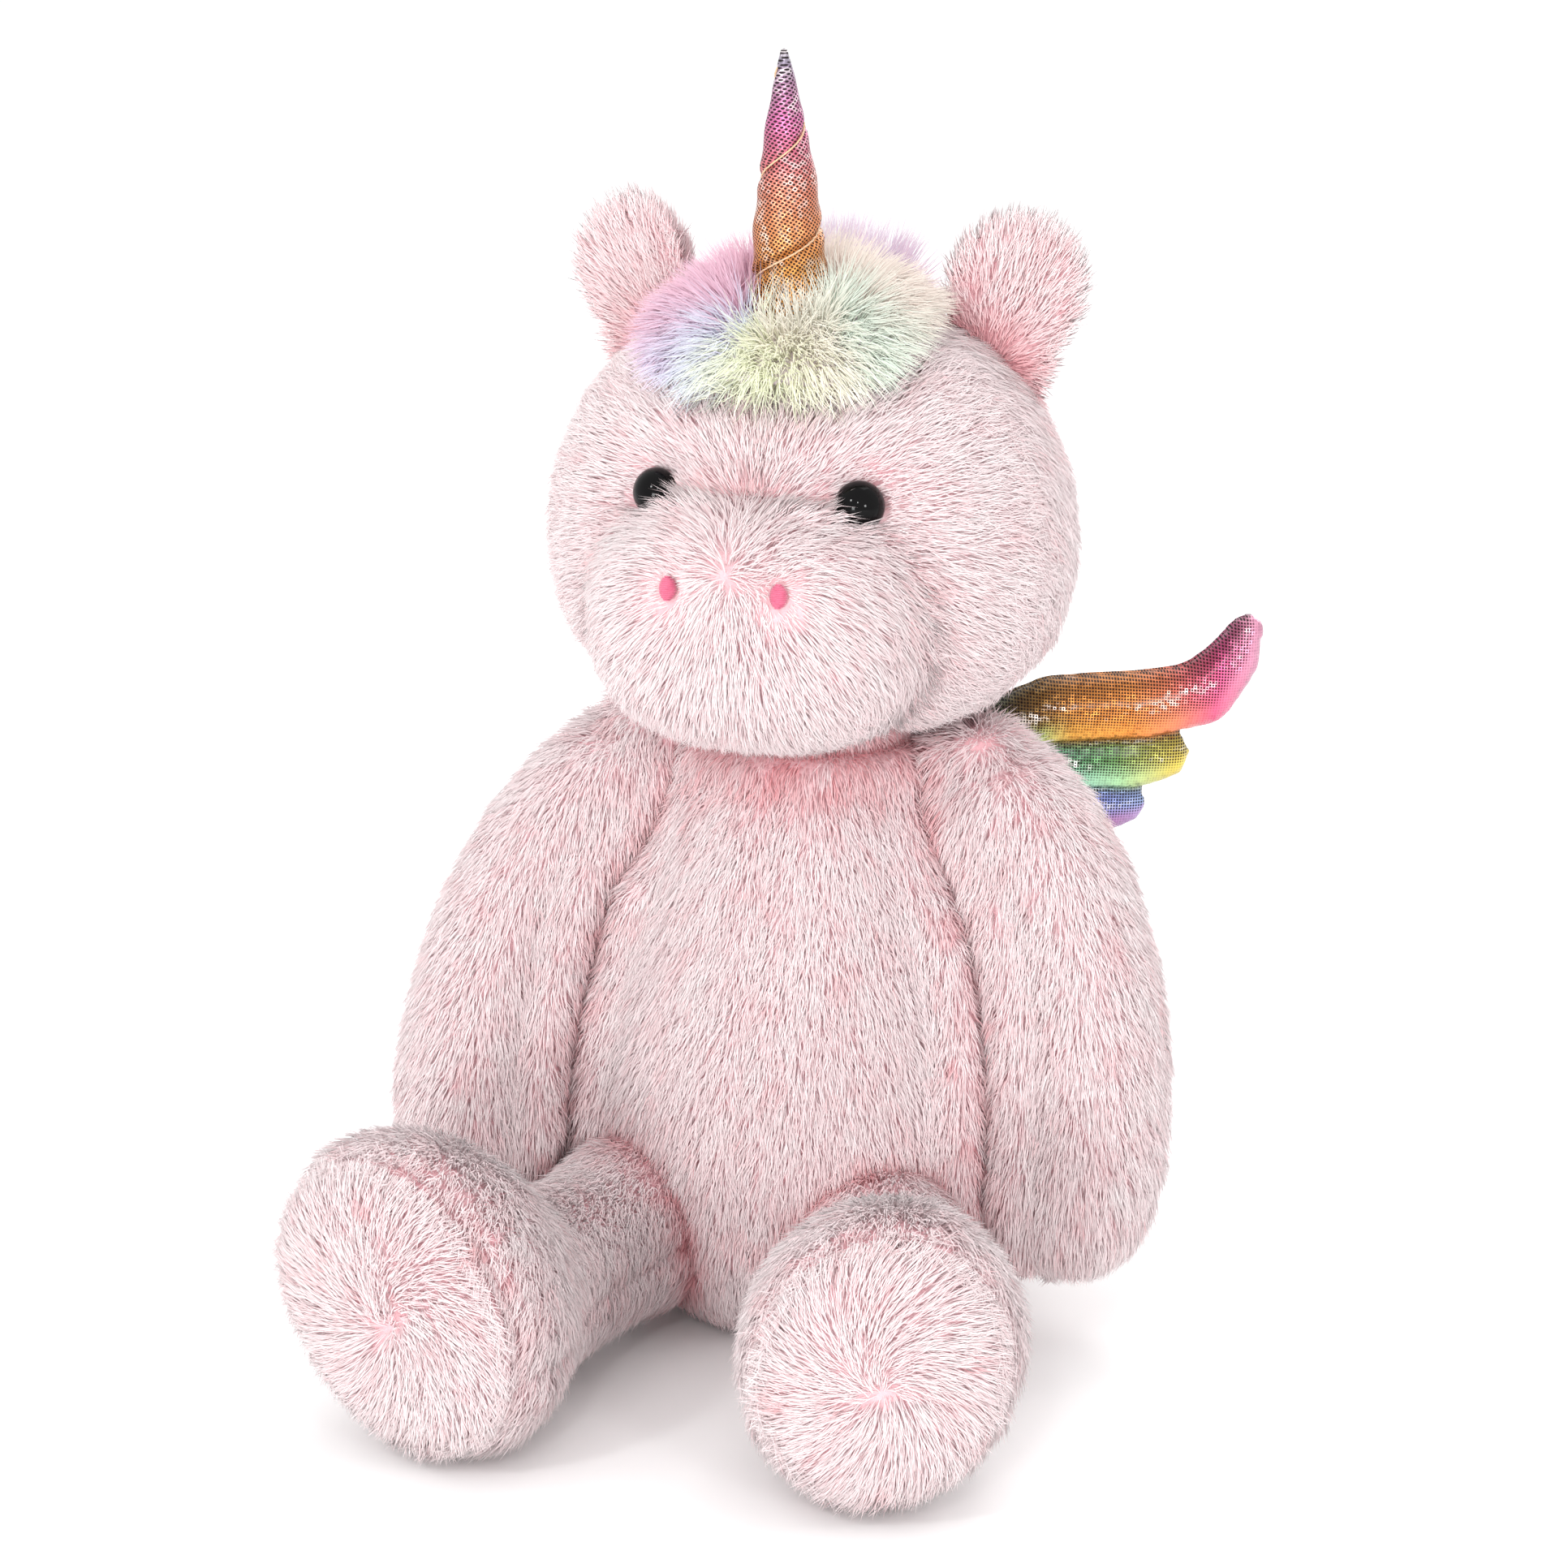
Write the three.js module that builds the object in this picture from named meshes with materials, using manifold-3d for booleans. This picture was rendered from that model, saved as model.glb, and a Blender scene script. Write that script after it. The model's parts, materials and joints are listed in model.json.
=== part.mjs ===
// A seated plush unicorn, about 310 mm tall to the tip of its horn.
// Millimetres, +Z up. The toy faces -Y and its own left side is +X. It sits on z = 0.
// Every sewn panel is a thin closed solid, and the filling behind it is a solid of its own.
import * as THREE from "three";
import { mergeVertices } from "three/addons/utils/BufferGeometryUtils.js";
import Module from "manifold-3d";

const wasm = await Module();
wasm.setup();

// ---- driving dimensions --------------------------------------------------------------------
const PILE = 3; // pile fabric: backing and pressed-down pile
const FOIL = 1; // foil fabric of the horn and wings, with its backing
const SEAM = 0.3; // gap between two pieces that are sewn or pressed together
const LOOSE = 2; // room between a cover and its filling
const SOCKET = 1.8; // room round the dome that a limb or the head turns on
const HALF_SEAM = SEAM / 2;
const TOY_SHIFT = 21; // from the torso's axis to the middle of the whole toy's box
const LEFT = 1;
const RIGHT = -1;

// The torso is a pear: its radius at each height, and how much deeper it is than wide.
const TORSO_PROFILE = [
  [0, 40], [7, 49], [22, 56.3], [44, 57.2], [66, 53.8], [88, 47], [108, 39.3], [124, 34.5], [135, 31.5],
  [141.5, 26.5],
];
const TORSO_TOP = 145;
const TORSO_DEPTH = 1.03;
const BASE_RADIUS = 39.6;
const BAG = { y: 10, radius: 32, height: 19 }; // pellet bag in the seat
const LABEL = { y: 63.6, z: 11.5, thick: 0.8, out: 13, high: 16 }; // sewn into the back seam

// The head is an egg, fuller below its middle.
const HEAD = { x: 0, y: -2, z: 190, wide: 66, deep: 48, up: 62, down: 45, square: 2.28 };
const NECK = { z: 147, radius: 17, foot: 134 }; // filling that joins head and torso
const MUZZLE = { y: -45, z: 180.5, wide: 41, deep: 26, high: 30.5 };
const CHIN_HALF_WIDTH = 24;
const EYE = { x: 25, y: -41.6, z: 209.5, radius: 6, turn: 24, stem: 1.6 };
const WASHER = { radius: 7, thick: 1.4 };
const NOSTRIL = { x: 13.2, z: 191.8, wide: 2, high: 2.7, thick: 1.2 };
const EAR = { x: 39.5, y: 9, z: 233, wide: 18, high: 41, cup: 6, lean: 20, turn: 14 };
const FORELOCK = { halfWidth: 26.5, front: 50, back: 98, thick: 4 };
const MANE = { halfWidth: 13, front: 104, back: 196, thick: 4 };
const HORN = { y: -18, z: 249.5, length: 61.5, radius: 9.2, tip: 0.7, turns: 2.6, phase: 69, lean: 1.5 };

// Limbs: hinge point, rest angle, and the centre line and radius along the limb.
const SHOULDER = { x: 47, y: 0, z: 130, dome: 18.5 };
const ARM_SWING = { [LEFT]: 13, [RIGHT]: 25 }; // degrees forward of straight down
const ARM_SPREAD = { [LEFT]: 1.09, [RIGHT]: 1.14 }; // how far each arm stands out from the torso
const ARM_TOE = 3; // degrees, an arm that swings forward also comes inward
const ARM_LINE = [
  [0, 0, 18.5], [9.5, 9, 18.5], [16.5, 20, 18.7], [24.5, 42, 19], [27.5, 64, 19.7], [28.5, 83, 19.5],
  [27, 96, 18.3],
];
const HIP = { x: 32, y: -44, z: 26.5, dome: 24 };
const LEG_SPLAY = { [LEFT]: 18, [RIGHT]: 12 }; // degrees outward of straight ahead
const LEG_DROP = 60; // degrees, how far a leg hangs down when the toy is lifted
const TOE_ROLL = { [LEFT]: 20, [RIGHT]: 40 }; // degrees, each foot leans outward
const FOOT_TALL = { [LEFT]: 1, [RIGHT]: 1.13 }; // how tall each foot is drawn
const THIGH = 20;
// Distance from the hip, half width, half height, and height of the underside over the floor.
const LEG_LINE = [
  [14, THIGH, THIGH, 6], [30, 20.5, 20.5, 5], [48, 21.5, 22, 4], [60, 25.5, 27.5, 2.5], [72, 30.5, 34, 0.8],
  [84, 32.5, 36.5, 0], [95, 31.5, 35.5, 0.6],
];
const SOLE_FROM = 95;
const SOLE_DOME = 13;
const WING = { x: 17, y: 50, z: 122, sweep: 26, flat: 0.72 };
// Feathers of a wing from the top one down: centre line (out, up, radius).
const FEATHERS = [
  [[6, 8, 7.5], [29, 15, 9.5], [52, 15.5, 9.5], [68, 19.5, 8], [76.5, 29, 5], [79.5, 37, 2.2]],
  [[5, 0, 6.5], [27, 1.5, 8], [49, 2, 8], [61, 3.5, 6]],
  [[5, -7, 6], [25, -9.5, 7.5], [41, -10.5, 7], [51, -9.5, 4.5]],
  [[5, -12, 4.5], [19, -18, 5.5], [34, -20.5, 4]],
];
const TAIL = { y: 61.4, z: 34, gap: 1.6 };
const TAIL_LINE = [[0, 0, 6], [10, -3, 9], [22, -8, 12], [34, -15, 13], [43, -20, 9]];

const COLOUR = {
  pink: "#eed6d9", deepPink: "#e4b7c0", filling: "#f4f2ee", pellets: "#e9e6df", cream: "#efe9d6",
  lavender: "#e3d8e0", copper: "#c88e66", teal: "#93ab98", orange: "#e29a4e", black: "#0d0c0e",
  white: "#f5f5f4", rose: "#e1758f",
};

// ---- small helpers -------------------------------------------------------------------------
const rad = THREE.MathUtils.degToRad;
const V = (x, y, z) => new THREE.Vector3(x, y, z);

function fabric(colour, roughness = 0.95) {
  return new THREE.MeshStandardMaterial({ color: colour, roughness, metalness: 0 });
}

function plastic(colour, roughness) {
  return new THREE.MeshStandardMaterial({ color: colour, roughness, metalness: 0 });
}

function foil(colour) {
  return new THREE.MeshStandardMaterial({ color: colour, roughness: 0.35, metalness: 0.6 });
}

// A three.js geometry as a solid for joins and cuts, turned so that its faces point out.
function solid(geometry) {
  const bare = geometry.clone();
  bare.deleteAttribute("normal");
  bare.deleteAttribute("uv");
  const merged = mergeVertices(bare, 1e-4);
  const make = (triVerts) =>
    new wasm.Manifold(
      new wasm.Mesh({ numProp: 3, vertProperties: merged.attributes.position.array, triVerts }),
    );
  const corners = new Uint32Array(merged.index.array);
  const made = make(corners);
  if (made.volume() >= 0) return made;
  for (let i = 0; i < corners.length; i += 3) {
    [corners[i + 1], corners[i + 2]] = [corners[i + 2], corners[i + 1]];
  }
  return make(corners);
}

function geometryOf(body) {
  const { numProp, numVert, vertProperties, triVerts } = body.getMesh();
  const position = new Float32Array(numVert * 3);
  for (let i = 0; i < numVert; i++) {
    position.set(vertProperties.subarray(i * numProp, i * numProp + 3), i * 3);
  }
  const geometry = new THREE.BufferGeometry();
  geometry.setAttribute("position", new THREE.BufferAttribute(position, 3));
  geometry.setIndex(new THREE.BufferAttribute(new Uint32Array(triVerts), 1));
  geometry.computeVertexNormals();
  return geometry;
}

// A closed skin over rings of points, drawn together to one point at each end.
function loft(rings, firstPoint, lastPoint) {
  const count = rings[0].length;
  const points = [firstPoint, ...rings.flat(), lastPoint];
  const last = points.length - 1;
  const index = [];
  for (let i = 0; i < count; i++) {
    const j = (i + 1) % count;
    index.push(0, 1 + j, 1 + i);
    for (let k = 0; k < rings.length - 1; k++) {
      const low = 1 + k * count;
      const high = low + count;
      index.push(low + i, low + j, high + j, low + i, high + j, high + i);
    }
    const top = 1 + (rings.length - 1) * count;
    index.push(top + i, top + j, last);
  }
  const geometry = new THREE.BufferGeometry().setFromPoints(points);
  geometry.setIndex(index);
  return solid(geometry);
}

// A closed slab between two surfaces over the same square of parameters.
function slab(outer, inner, across, along) {
  const rows = [outer, inner].map((surface) => {
    const grid = [];
    for (let j = 0; j <= along; j++) {
      for (let i = 0; i <= across; i++) grid.push(surface((2 * i) / across - 1, j / along));
    }
    return grid;
  });
  const wide = across + 1;
  const half = rows[0].length;
  const index = [];
  const quad = (a, b, c, d) => index.push(a, b, c, a, c, d);
  for (let j = 0; j < along; j++) {
    for (let i = 0; i < across; i++) {
      const a = j * wide + i;
      quad(a, a + 1, a + wide + 1, a + wide);
      quad(half + a + wide, half + a + wide + 1, half + a + 1, half + a);
    }
  }
  for (let i = 0; i < across; i++) {
    const far = along * wide + i;
    quad(i + 1, i, half + i, half + i + 1);
    quad(far, far + 1, half + far + 1, half + far);
  }
  for (let j = 0; j < along; j++) {
    const near = j * wide;
    const far = near + across;
    quad(near, near + wide, half + near + wide, half + near);
    quad(far + wide, far, half + far, half + far + wide);
  }
  const geometry = new THREE.BufferGeometry().setFromPoints(rows.flat());
  geometry.setIndex(index);
  return solid(geometry);
}

function ball(radius, x, y, z, segments = 16) {
  const geometry = new THREE.SphereGeometry(radius, segments, segments / 2);
  return solid(geometry.rotateX(Math.PI / 2).translate(x, y, z));
}

// A rod or disc from one point towards another.
function rod(radius, start, direction, length, sides = 16) {
  const geometry = new THREE.CylinderGeometry(radius, radius, length, sides);
  geometry.translate(0, length / 2, 0);
  geometry.applyQuaternion(
    new THREE.Quaternion().setFromUnitVectors(V(0, 1, 0), direction.clone().normalize()),
  );
  return solid(geometry.translate(start.x, start.y, start.z));
}

// The part of a body on one side of a plane through the origin offset, half a seam away from it.
function sideOf(body, normal, offset = 0) {
  return body.trimByPlane([normal.x, normal.y, normal.z], offset + HALF_SEAM);
}

const root = new THREE.Group();
const toy = new THREE.Group();
toy.position.y = TOY_SHIFT;
root.add(toy);

function place(parent, name, body, material) {
  const mesh = new THREE.Mesh(geometryOf(body), material);
  mesh.name = name;
  parent.add(mesh);
  return mesh;
}

function named(part, side) {
  return part + (side === LEFT ? "_left" : "_right");
}

// ---- torso ---------------------------------------------------------------------------------
function torsoBody(inset, sides = 20) {
  const rings = TORSO_PROFILE.map(([z, radius]) => {
    const height = Math.max(z, inset);
    return Array.from({ length: sides }, (_, i) => {
      const turn = (2 * Math.PI * i) / sides;
      const r = radius - inset;
      return V(r * Math.cos(turn), TORSO_DEPTH * r * Math.sin(turn), height);
    });
  });
  return loft(rings, V(0, 0, inset), V(0, 0, TORSO_TOP - inset));
}

// The filling of the neck: a ball for the head to nod on, on a round foot in the torso.
function neckBody(grow) {
  const r = NECK.radius + grow;
  const profile = [V(0, NECK.foot - grow, 0), V(r - 2, NECK.foot - grow, 0), V(r, NECK.foot + 2, 0)];
  for (let step = 0; step < 4; step++) {
    const angle = (step / 4) * (Math.PI / 2);
    profile.push(V(r * Math.cos(angle), NECK.z + r * Math.sin(angle), 0));
  }
  profile.push(V(0, NECK.z + r, 0));
  const outline = profile.map((p) => new THREE.Vector2(p.x, p.y));
  return solid(new THREE.LatheGeometry(outline, 14).rotateX(Math.PI / 2));
}

function pelletBag(grow) {
  const r = BAG.radius + grow;
  const foot = PILE + SEAM;
  const outline = [
    [0, foot - (grow ? PILE : 0)], [r - 8, foot - (grow ? PILE : 0)], [r - 1.5, foot + 4],
    [r, foot + 8], [r - 6, foot + 15], [r - 18, foot + BAG.height + grow], [0, foot + BAG.height + grow],
  ].map(([x, y]) => new THREE.Vector2(x, y));
  return solid(new THREE.LatheGeometry(outline, 12).rotateX(Math.PI / 2).translate(0, BAG.y, 0));
}

// Room for the domes of the arms and legs, and for each leg when it hangs down.
function limbSockets(grow) {
  return [LEFT, RIGHT].flatMap((side) => {
    const hip = V(side * HIP.x, HIP.y, HIP.z);
    const splay = side * rad(LEG_SPLAY[side]);
    const hanging = V(Math.sin(splay), -Math.cos(splay), 0).multiplyScalar(Math.cos(rad(LEG_DROP)));
    return [
      ball(SHOULDER.dome + grow, side * SHOULDER.x, SHOULDER.y, SHOULDER.z, 12),
      ball(HIP.dome + grow, hip.x, hip.y, hip.z, 14),
      rod(THIGH + grow, hip, hanging.setZ(-Math.sin(rad(LEG_DROP))), 40, 12),
    ];
  });
}

function buildTorso() {
  const group = new THREE.Group();
  toy.add(group);
  let cover = torsoBody(0).subtract(torsoBody(PILE)).subtract(neckBody(SOCKET));
  let filling = torsoBody(PILE + LOOSE, 12).subtract(neckBody(SOCKET)).subtract(pelletBag(0.4));
  for (const socket of limbSockets(SOCKET)) {
    cover = cover.subtract(socket);
    filling = filling.subtract(socket);
  }
  cover = cover.subtract(rod(BASE_RADIUS + SEAM, V(0, 0, -1), V(0, 0, 1), 1 + PILE + SEAM, 24));
  filling = filling.trimByPlane([0, 0, 1], PILE + SEAM);
  for (const [end, forward] of [["front", V(0, -1, 0)], ["back", V(0, 1, 0)]]) {
    for (const side of [LEFT, RIGHT]) {
      const panel = sideOf(sideOf(cover, forward), V(side, 0, 0));
      place(group, named("torso_" + end, side), panel, fabric(COLOUR.pink));
    }
  }
  const base = rod(BASE_RADIUS, V(0, 0, 0), V(0, 0, 1), PILE, 24);
  place(group, "torso_base", base, fabric(COLOUR.pink));
  place(group, "torso_filling", filling, fabric(COLOUR.filling));
  place(group, "pellet_bag", pelletBag(0), fabric(COLOUR.pellets));
  const label = new THREE.BoxGeometry(LABEL.thick, LABEL.out, LABEL.high);
  const mesh = place(group, "care_label", solid(label), fabric(COLOUR.white));
  mesh.position.set(0, LABEL.y, LABEL.z);
  place(group, "neck_filling", neckBody(0), fabric(COLOUR.filling));
}

// ---- head ----------------------------------------------------------------------------------
// The point of the head's surface in a direction from its middle, moved out by a distance.
function headPoint(direction, out = 0) {
  const d = direction.clone().normalize();
  const high = d.z > 0 ? HEAD.up : HEAD.down;
  const power = (value, half) => Math.pow(Math.abs(value) / (half + out), HEAD.square);
  const sum = power(d.x, HEAD.wide) + power(d.y, HEAD.deep) + power(d.z, high);
  return d.multiplyScalar(Math.pow(sum, -1 / HEAD.square)).add(V(HEAD.x, HEAD.y, HEAD.z));
}

function headBody(out, around = 20, rows = 9) {
  const rings = Array.from({ length: rows }, (_, j) => {
    const tilt = ((j + 1) / (rows + 1) - 0.5) * Math.PI;
    return Array.from({ length: around }, (_, i) => {
      const turn = (2 * Math.PI * i) / around;
      const flat = Math.cos(tilt);
      return headPoint(V(flat * Math.cos(turn), flat * Math.sin(turn), Math.sin(tilt)), out);
    });
  });
  return loft(rings, headPoint(V(0, 0, -1), out), headPoint(V(0, 0, 1), out));
}

function muzzleBody(out) {
  const geometry = new THREE.SphereGeometry(1, 16, 8);
  geometry.rotateX(Math.PI / 2).scale(MUZZLE.wide + out, MUZZLE.deep + out, MUZZLE.high + out);
  return solid(geometry.translate(0, MUZZLE.y, MUZZLE.z));
}

function eyeAxis(side) {
  return V(side * Math.sin(rad(EYE.turn)), -Math.cos(rad(EYE.turn)), 0.12).normalize();
}

// A dome eye on a stem that goes through the pile fabric into a washer.
function buildEye(parent, side) {
  const centre = V(side * EYE.x, EYE.y, EYE.z);
  const inward = eyeAxis(side).negate();
  const dome = ball(EYE.radius, centre.x, centre.y, centre.z, 12);
  const stem = rod(EYE.stem, centre, inward, EYE.radius + 9, 8);
  place(parent, named("eye", side), dome.add(stem), plastic(COLOUR.black, 0.05));
  const seat = centre.clone().addScaledVector(inward, EYE.radius + 2);
  const washer = rod(WASHER.radius, seat, inward, WASHER.thick, 12);
  const hole = rod(EYE.stem + 0.4, seat.clone().addScaledVector(inward, -1), inward, 4, 8);
  place(parent, named("eye_washer", side), washer.subtract(hole), plastic(COLOUR.white, 0.5));
}

function buildNostril(parent, side) {
  const outline = new THREE.Shape().absellipse(0, 0, NOSTRIL.wide, NOSTRIL.high, 0, 2 * Math.PI);
  const geometry = new THREE.ExtrudeGeometry(outline, {
    depth: NOSTRIL.thick, bevelEnabled: false, curveSegments: 6,
  });
  const across = (side * NOSTRIL.x) / MUZZLE.wide;
  const up = (NOSTRIL.z - MUZZLE.z) / MUZZLE.high;
  const forward = -Math.sqrt(1 - across * across - up * up);
  const outward = V(across / MUZZLE.wide, forward / MUZZLE.deep, up / MUZZLE.high).normalize();
  const mesh = place(parent, named("nostril", side), solid(geometry), fabric(COLOUR.rose, 0.5));
  mesh.position.set(side * NOSTRIL.x, MUZZLE.y + forward * MUZZLE.deep, NOSTRIL.z);
  mesh.position.addScaledVector(outward, SEAM);
  mesh.quaternion.setFromUnitVectors(V(0, 0, 1), outward);
}

// A strip of long pile on the head, followed from one tilt over the crown to another.
function headStrip(strip) {
  const surface = (out) => (u, v) => {
    const tilt = rad(THREE.MathUtils.lerp(strip.front, strip.back, v));
    const narrow = strip.round ? Math.pow(1 - Math.pow(Math.abs(2 * v - 1), 3), 0.6) : 1;
    const across = (u * strip.halfWidth * (0.55 + 0.45 * narrow)) / HEAD.deep;
    const lift = (1 - 0.65 * u * u) * out;
    return headPoint(V(across, -Math.cos(tilt), Math.sin(tilt)), SEAM + 0.5 + lift);
  };
  return slab(surface(strip.thick), surface(0), 6, 7);
}

function hornBase(grow) {
  return rod(HORN.radius + grow, V(0, HORN.y, HORN.z - 6), V(0, 0, 1), 30, 12);
}

function buildHead() {
  const group = new THREE.Group();
  toy.add(group);
  let cover = headBody(0).subtract(headBody(-PILE)).subtract(muzzleBody(SEAM));
  let filling = headBody(-PILE - LOOSE, 12, 7);
  const neck = ball(NECK.radius + SOCKET, 0, 0, NECK.z, 14);
  cover = cover.subtract(neck);
  filling = filling.subtract(neck);
  let muzzle = muzzleBody(0).subtract(muzzleBody(-PILE)).subtract(headBody(-PILE, 16, 8));
  for (const side of [LEFT, RIGHT]) {
    const centre = V(side * EYE.x, EYE.y, EYE.z);
    const inward = eyeAxis(side).negate();
    const socket = ball(EYE.radius + 0.5, centre.x, centre.y, centre.z, 12);
    cover = cover.subtract(socket).subtract(rod(EYE.stem + 0.4, centre, inward, 12, 8));
    muzzle = muzzle.subtract(socket);
    const pocket = centre.clone().addScaledVector(inward, -4);
    filling = filling.subtract(rod(WASHER.radius + 1, pocket, inward, 21, 10));
  }
  const chinZone = solid(
    new THREE.BoxGeometry(2 * CHIN_HALF_WIDTH, 60, 60).translate(0, -40, MUZZLE.z - 30),
  );
  const chinGap = solid(
    new THREE.BoxGeometry(2 * CHIN_HALF_WIDTH + 2 * SEAM, 60 + SEAM, 60 + SEAM)
      .translate(0, -40 + HALF_SEAM, MUZZLE.z - 30 + HALF_SEAM),
  );
  place(group, "chin_panel", cover.intersect(chinZone), fabric(COLOUR.pink));
  cover = cover.subtract(chinGap);
  for (const side of [LEFT, RIGHT]) {
    place(group, named("head", side), sideOf(cover, V(side, 0, 0)), fabric(COLOUR.pink));
  }
  place(group, "muzzle_panel", muzzle, fabric(COLOUR.pink));
  const muzzleFilling = muzzleBody(-PILE - SEAM).subtract(headBody(-PILE, 12, 7));
  place(group, "muzzle_filling", muzzleFilling, fabric(COLOUR.filling));
  place(group, "head_filling", filling, fabric(COLOUR.filling));
  for (const side of [LEFT, RIGHT]) {
    buildEye(group, side);
    buildNostril(group, side);
  }
  const forelock = headStrip({ ...FORELOCK, round: true }).subtract(hornBase(1.8));
  place(group, "forelock", forelock, fabric(COLOUR.cream));
  place(group, "mane_strip", headStrip(MANE), fabric(COLOUR.lavender));
}

// ---- ears ----------------------------------------------------------------------------------
const EAR_WIDEST = 0.55; // part of its height

// Half of a cupped ear: its outline is narrow at the head and round at the end.
function earHalf(facing) {
  const middle = (u, v) => {
    const height = 1 - Math.pow(1 - v, 1.4);
    const crown = Math.max(0, (height - EAR_WIDEST) / (1 - EAR_WIDEST));
    const taper = THREE.MathUtils.lerp(0.74, 1, THREE.MathUtils.smoothstep(height, 0, EAR_WIDEST));
    const x = u * Math.max(EAR.wide * taper * Math.sqrt(1 - crown * crown), 2.5);
    return V(x, -EAR.cup * Math.pow(x / EAR.wide, 2) - 3 * height * height, EAR.high * height);
  };
  const surface = (out) => (u, v) => {
    const puff = Math.sqrt(Math.max(0, 1 - Math.pow(u, 4))) * Math.sin(Math.PI * (0.08 + 0.88 * v));
    return middle(u, v).add(V(0, -facing * (HALF_SEAM + out * (0.5 + 3.6 * puff)), 0));
  };
  return slab(surface(1), surface(0), 6, 6);
}

function buildEar(side) {
  const ear = new THREE.Group();
  ear.position.set(side * EAR.x, EAR.y, EAR.z);
  ear.rotation.set(0, side * rad(EAR.lean), side * rad(EAR.turn), "ZYX");
  toy.add(ear);
  const skull = headBody(3, 16, 8).transform(inverseOf(ear));
  place(ear, named("ear_inner", side), earHalf(1).subtract(skull), fabric(COLOUR.deepPink));
  place(ear, named("ear_outer", side), earHalf(-1).subtract(skull), fabric(COLOUR.pink));
}

function inverseOf(group) {
  group.updateMatrix();
  return group.matrix.clone().invert().elements;
}

// ---- horn ----------------------------------------------------------------------------------
const HORN_RINGS = 17;

function hornTurn(height) {
  return 2 * Math.PI * HORN.turns * height + rad(HORN.phase);
}

function hornRadius(turn, height, inset) {
  const cone = THREE.MathUtils.lerp(HORN.radius, HORN.tip, Math.pow(height, 1.9));
  const wave = Math.cos(turn - hornTurn(height));
  const groove = 0.13 * cone * Math.pow(Math.max(0, wave), 5);
  return Math.max(cone - groove - inset, 0.35);
}

function hornBody(inset, from, to, sides = 12) {
  const rings = Array.from({ length: HORN_RINGS }, (_, j) => {
    const height = THREE.MathUtils.lerp(from, to, j / (HORN_RINGS - 1));
    return Array.from({ length: sides }, (_, i) => {
      const turn = (2 * Math.PI * i) / sides;
      const r = hornRadius(turn, height, inset);
      return V(r * Math.cos(turn), r * Math.sin(turn), height * HORN.length);
    });
  });
  const top = to * HORN.length + (to === 1 ? 0 : -0.2);
  return loft(rings, V(0, 0, from * HORN.length), V(0, 0, top + (to === 1 ? 0.8 : 0)));
}

// The thread wound round the horn, drawn into its groove.
function hornThread() {
  const steps = 32;
  const points = Array.from({ length: steps + 1 }, (_, i) => {
    const height = THREE.MathUtils.lerp(0.12, 0.9, i / steps);
    const turn = hornTurn(height);
    const r = hornRadius(turn, height, 0) + 0.85;
    return V(r * Math.cos(turn), r * Math.sin(turn), height * HORN.length);
  });
  const section = new THREE.Shape().absarc(0, 0, 0.3, 0, 2 * Math.PI);
  return solid(
    new THREE.ExtrudeGeometry(section, {
      steps: 48, curveSegments: 2, bevelEnabled: false,
      extrudePath: new THREE.CatmullRomCurve3(points),
    }),
  );
}

function buildHorn() {
  const horn = new THREE.Group();
  horn.position.set(0, HORN.y, HORN.z);
  horn.rotation.set(0, rad(-HORN.lean), 0);
  toy.add(horn);
  const skull = headBody(2.6, 16, 8).transform(inverseOf(horn));
  const hollow = hornBody(FOIL, 0, 0.93, 8).add(rod(HORN.radius - 2, V(0, 0, -1), V(0, 0, 1), 3, 8));
  const cover = hornBody(0, 0, 1).subtract(hollow).subtract(skull);
  place(horn, "horn_cover", cover, foil(COLOUR.copper));
  const filling = hornBody(FOIL + LOOSE / 2, 0.02, 0.88, 8).subtract(skull);
  place(horn, "horn_filling", filling, fabric(COLOUR.filling));
  place(horn, "horn_thread", hornThread(), fabric(COLOUR.orange, 0.6));
}

// ---- limbs ---------------------------------------------------------------------------------
// A ring across a limb: its middle, the half sizes along two directions, and a roll.
function limbRing(sides, centre, wideAxis, highAxis, wide, high, roll = 0) {
  return Array.from({ length: sides }, (_, i) => {
    const turn = (2 * Math.PI * i) / sides;
    const a = wide * Math.cos(turn);
    const b = high * Math.sin(turn);
    return centre.clone()
      .addScaledVector(wideAxis, a * Math.cos(roll) - b * Math.sin(roll))
      .addScaledVector(highAxis, a * Math.sin(roll) + b * Math.cos(roll));
  });
}

// The arm hangs in the plane y = 0 of its group, its dome round the hinge point.
function armBody(side, inset, sides = 12) {
  const spread = side * ARM_SPREAD[side];
  const line = ARM_LINE.map(([out, down, radius]) => [V(spread * out, 0, -down), radius - inset]);
  const rings = line.map(([centre, radius], i) => {
    const before = line[Math.max(i - 1, 0)][0];
    const after = line[Math.min(i + 1, line.length - 1)][0];
    const along = after.clone().sub(before).normalize();
    const across = V(0, 1, 0).cross(along).normalize();
    return limbRing(sides, centre, across, V(0, 1, 0), radius, radius);
  });
  const [hand, handRadius] = line[line.length - 1];
  const down = V(0, 0, -1);
  const endCap = [0.45, 0.82].map((part) => {
    const reach = hand.clone().addScaledVector(down, handRadius * part);
    const small = handRadius * Math.sqrt(1 - part * part);
    return limbRing(sides, reach, V(0, 1, 0).cross(down), V(0, 1, 0), small, small);
  });
  const tube = loft([...rings, ...endCap], V(0, 0, 0), hand.clone().addScaledVector(down, handRadius));
  return tube.add(ball(SHOULDER.dome - inset, 0, 0, 0, sides));
}

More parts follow.
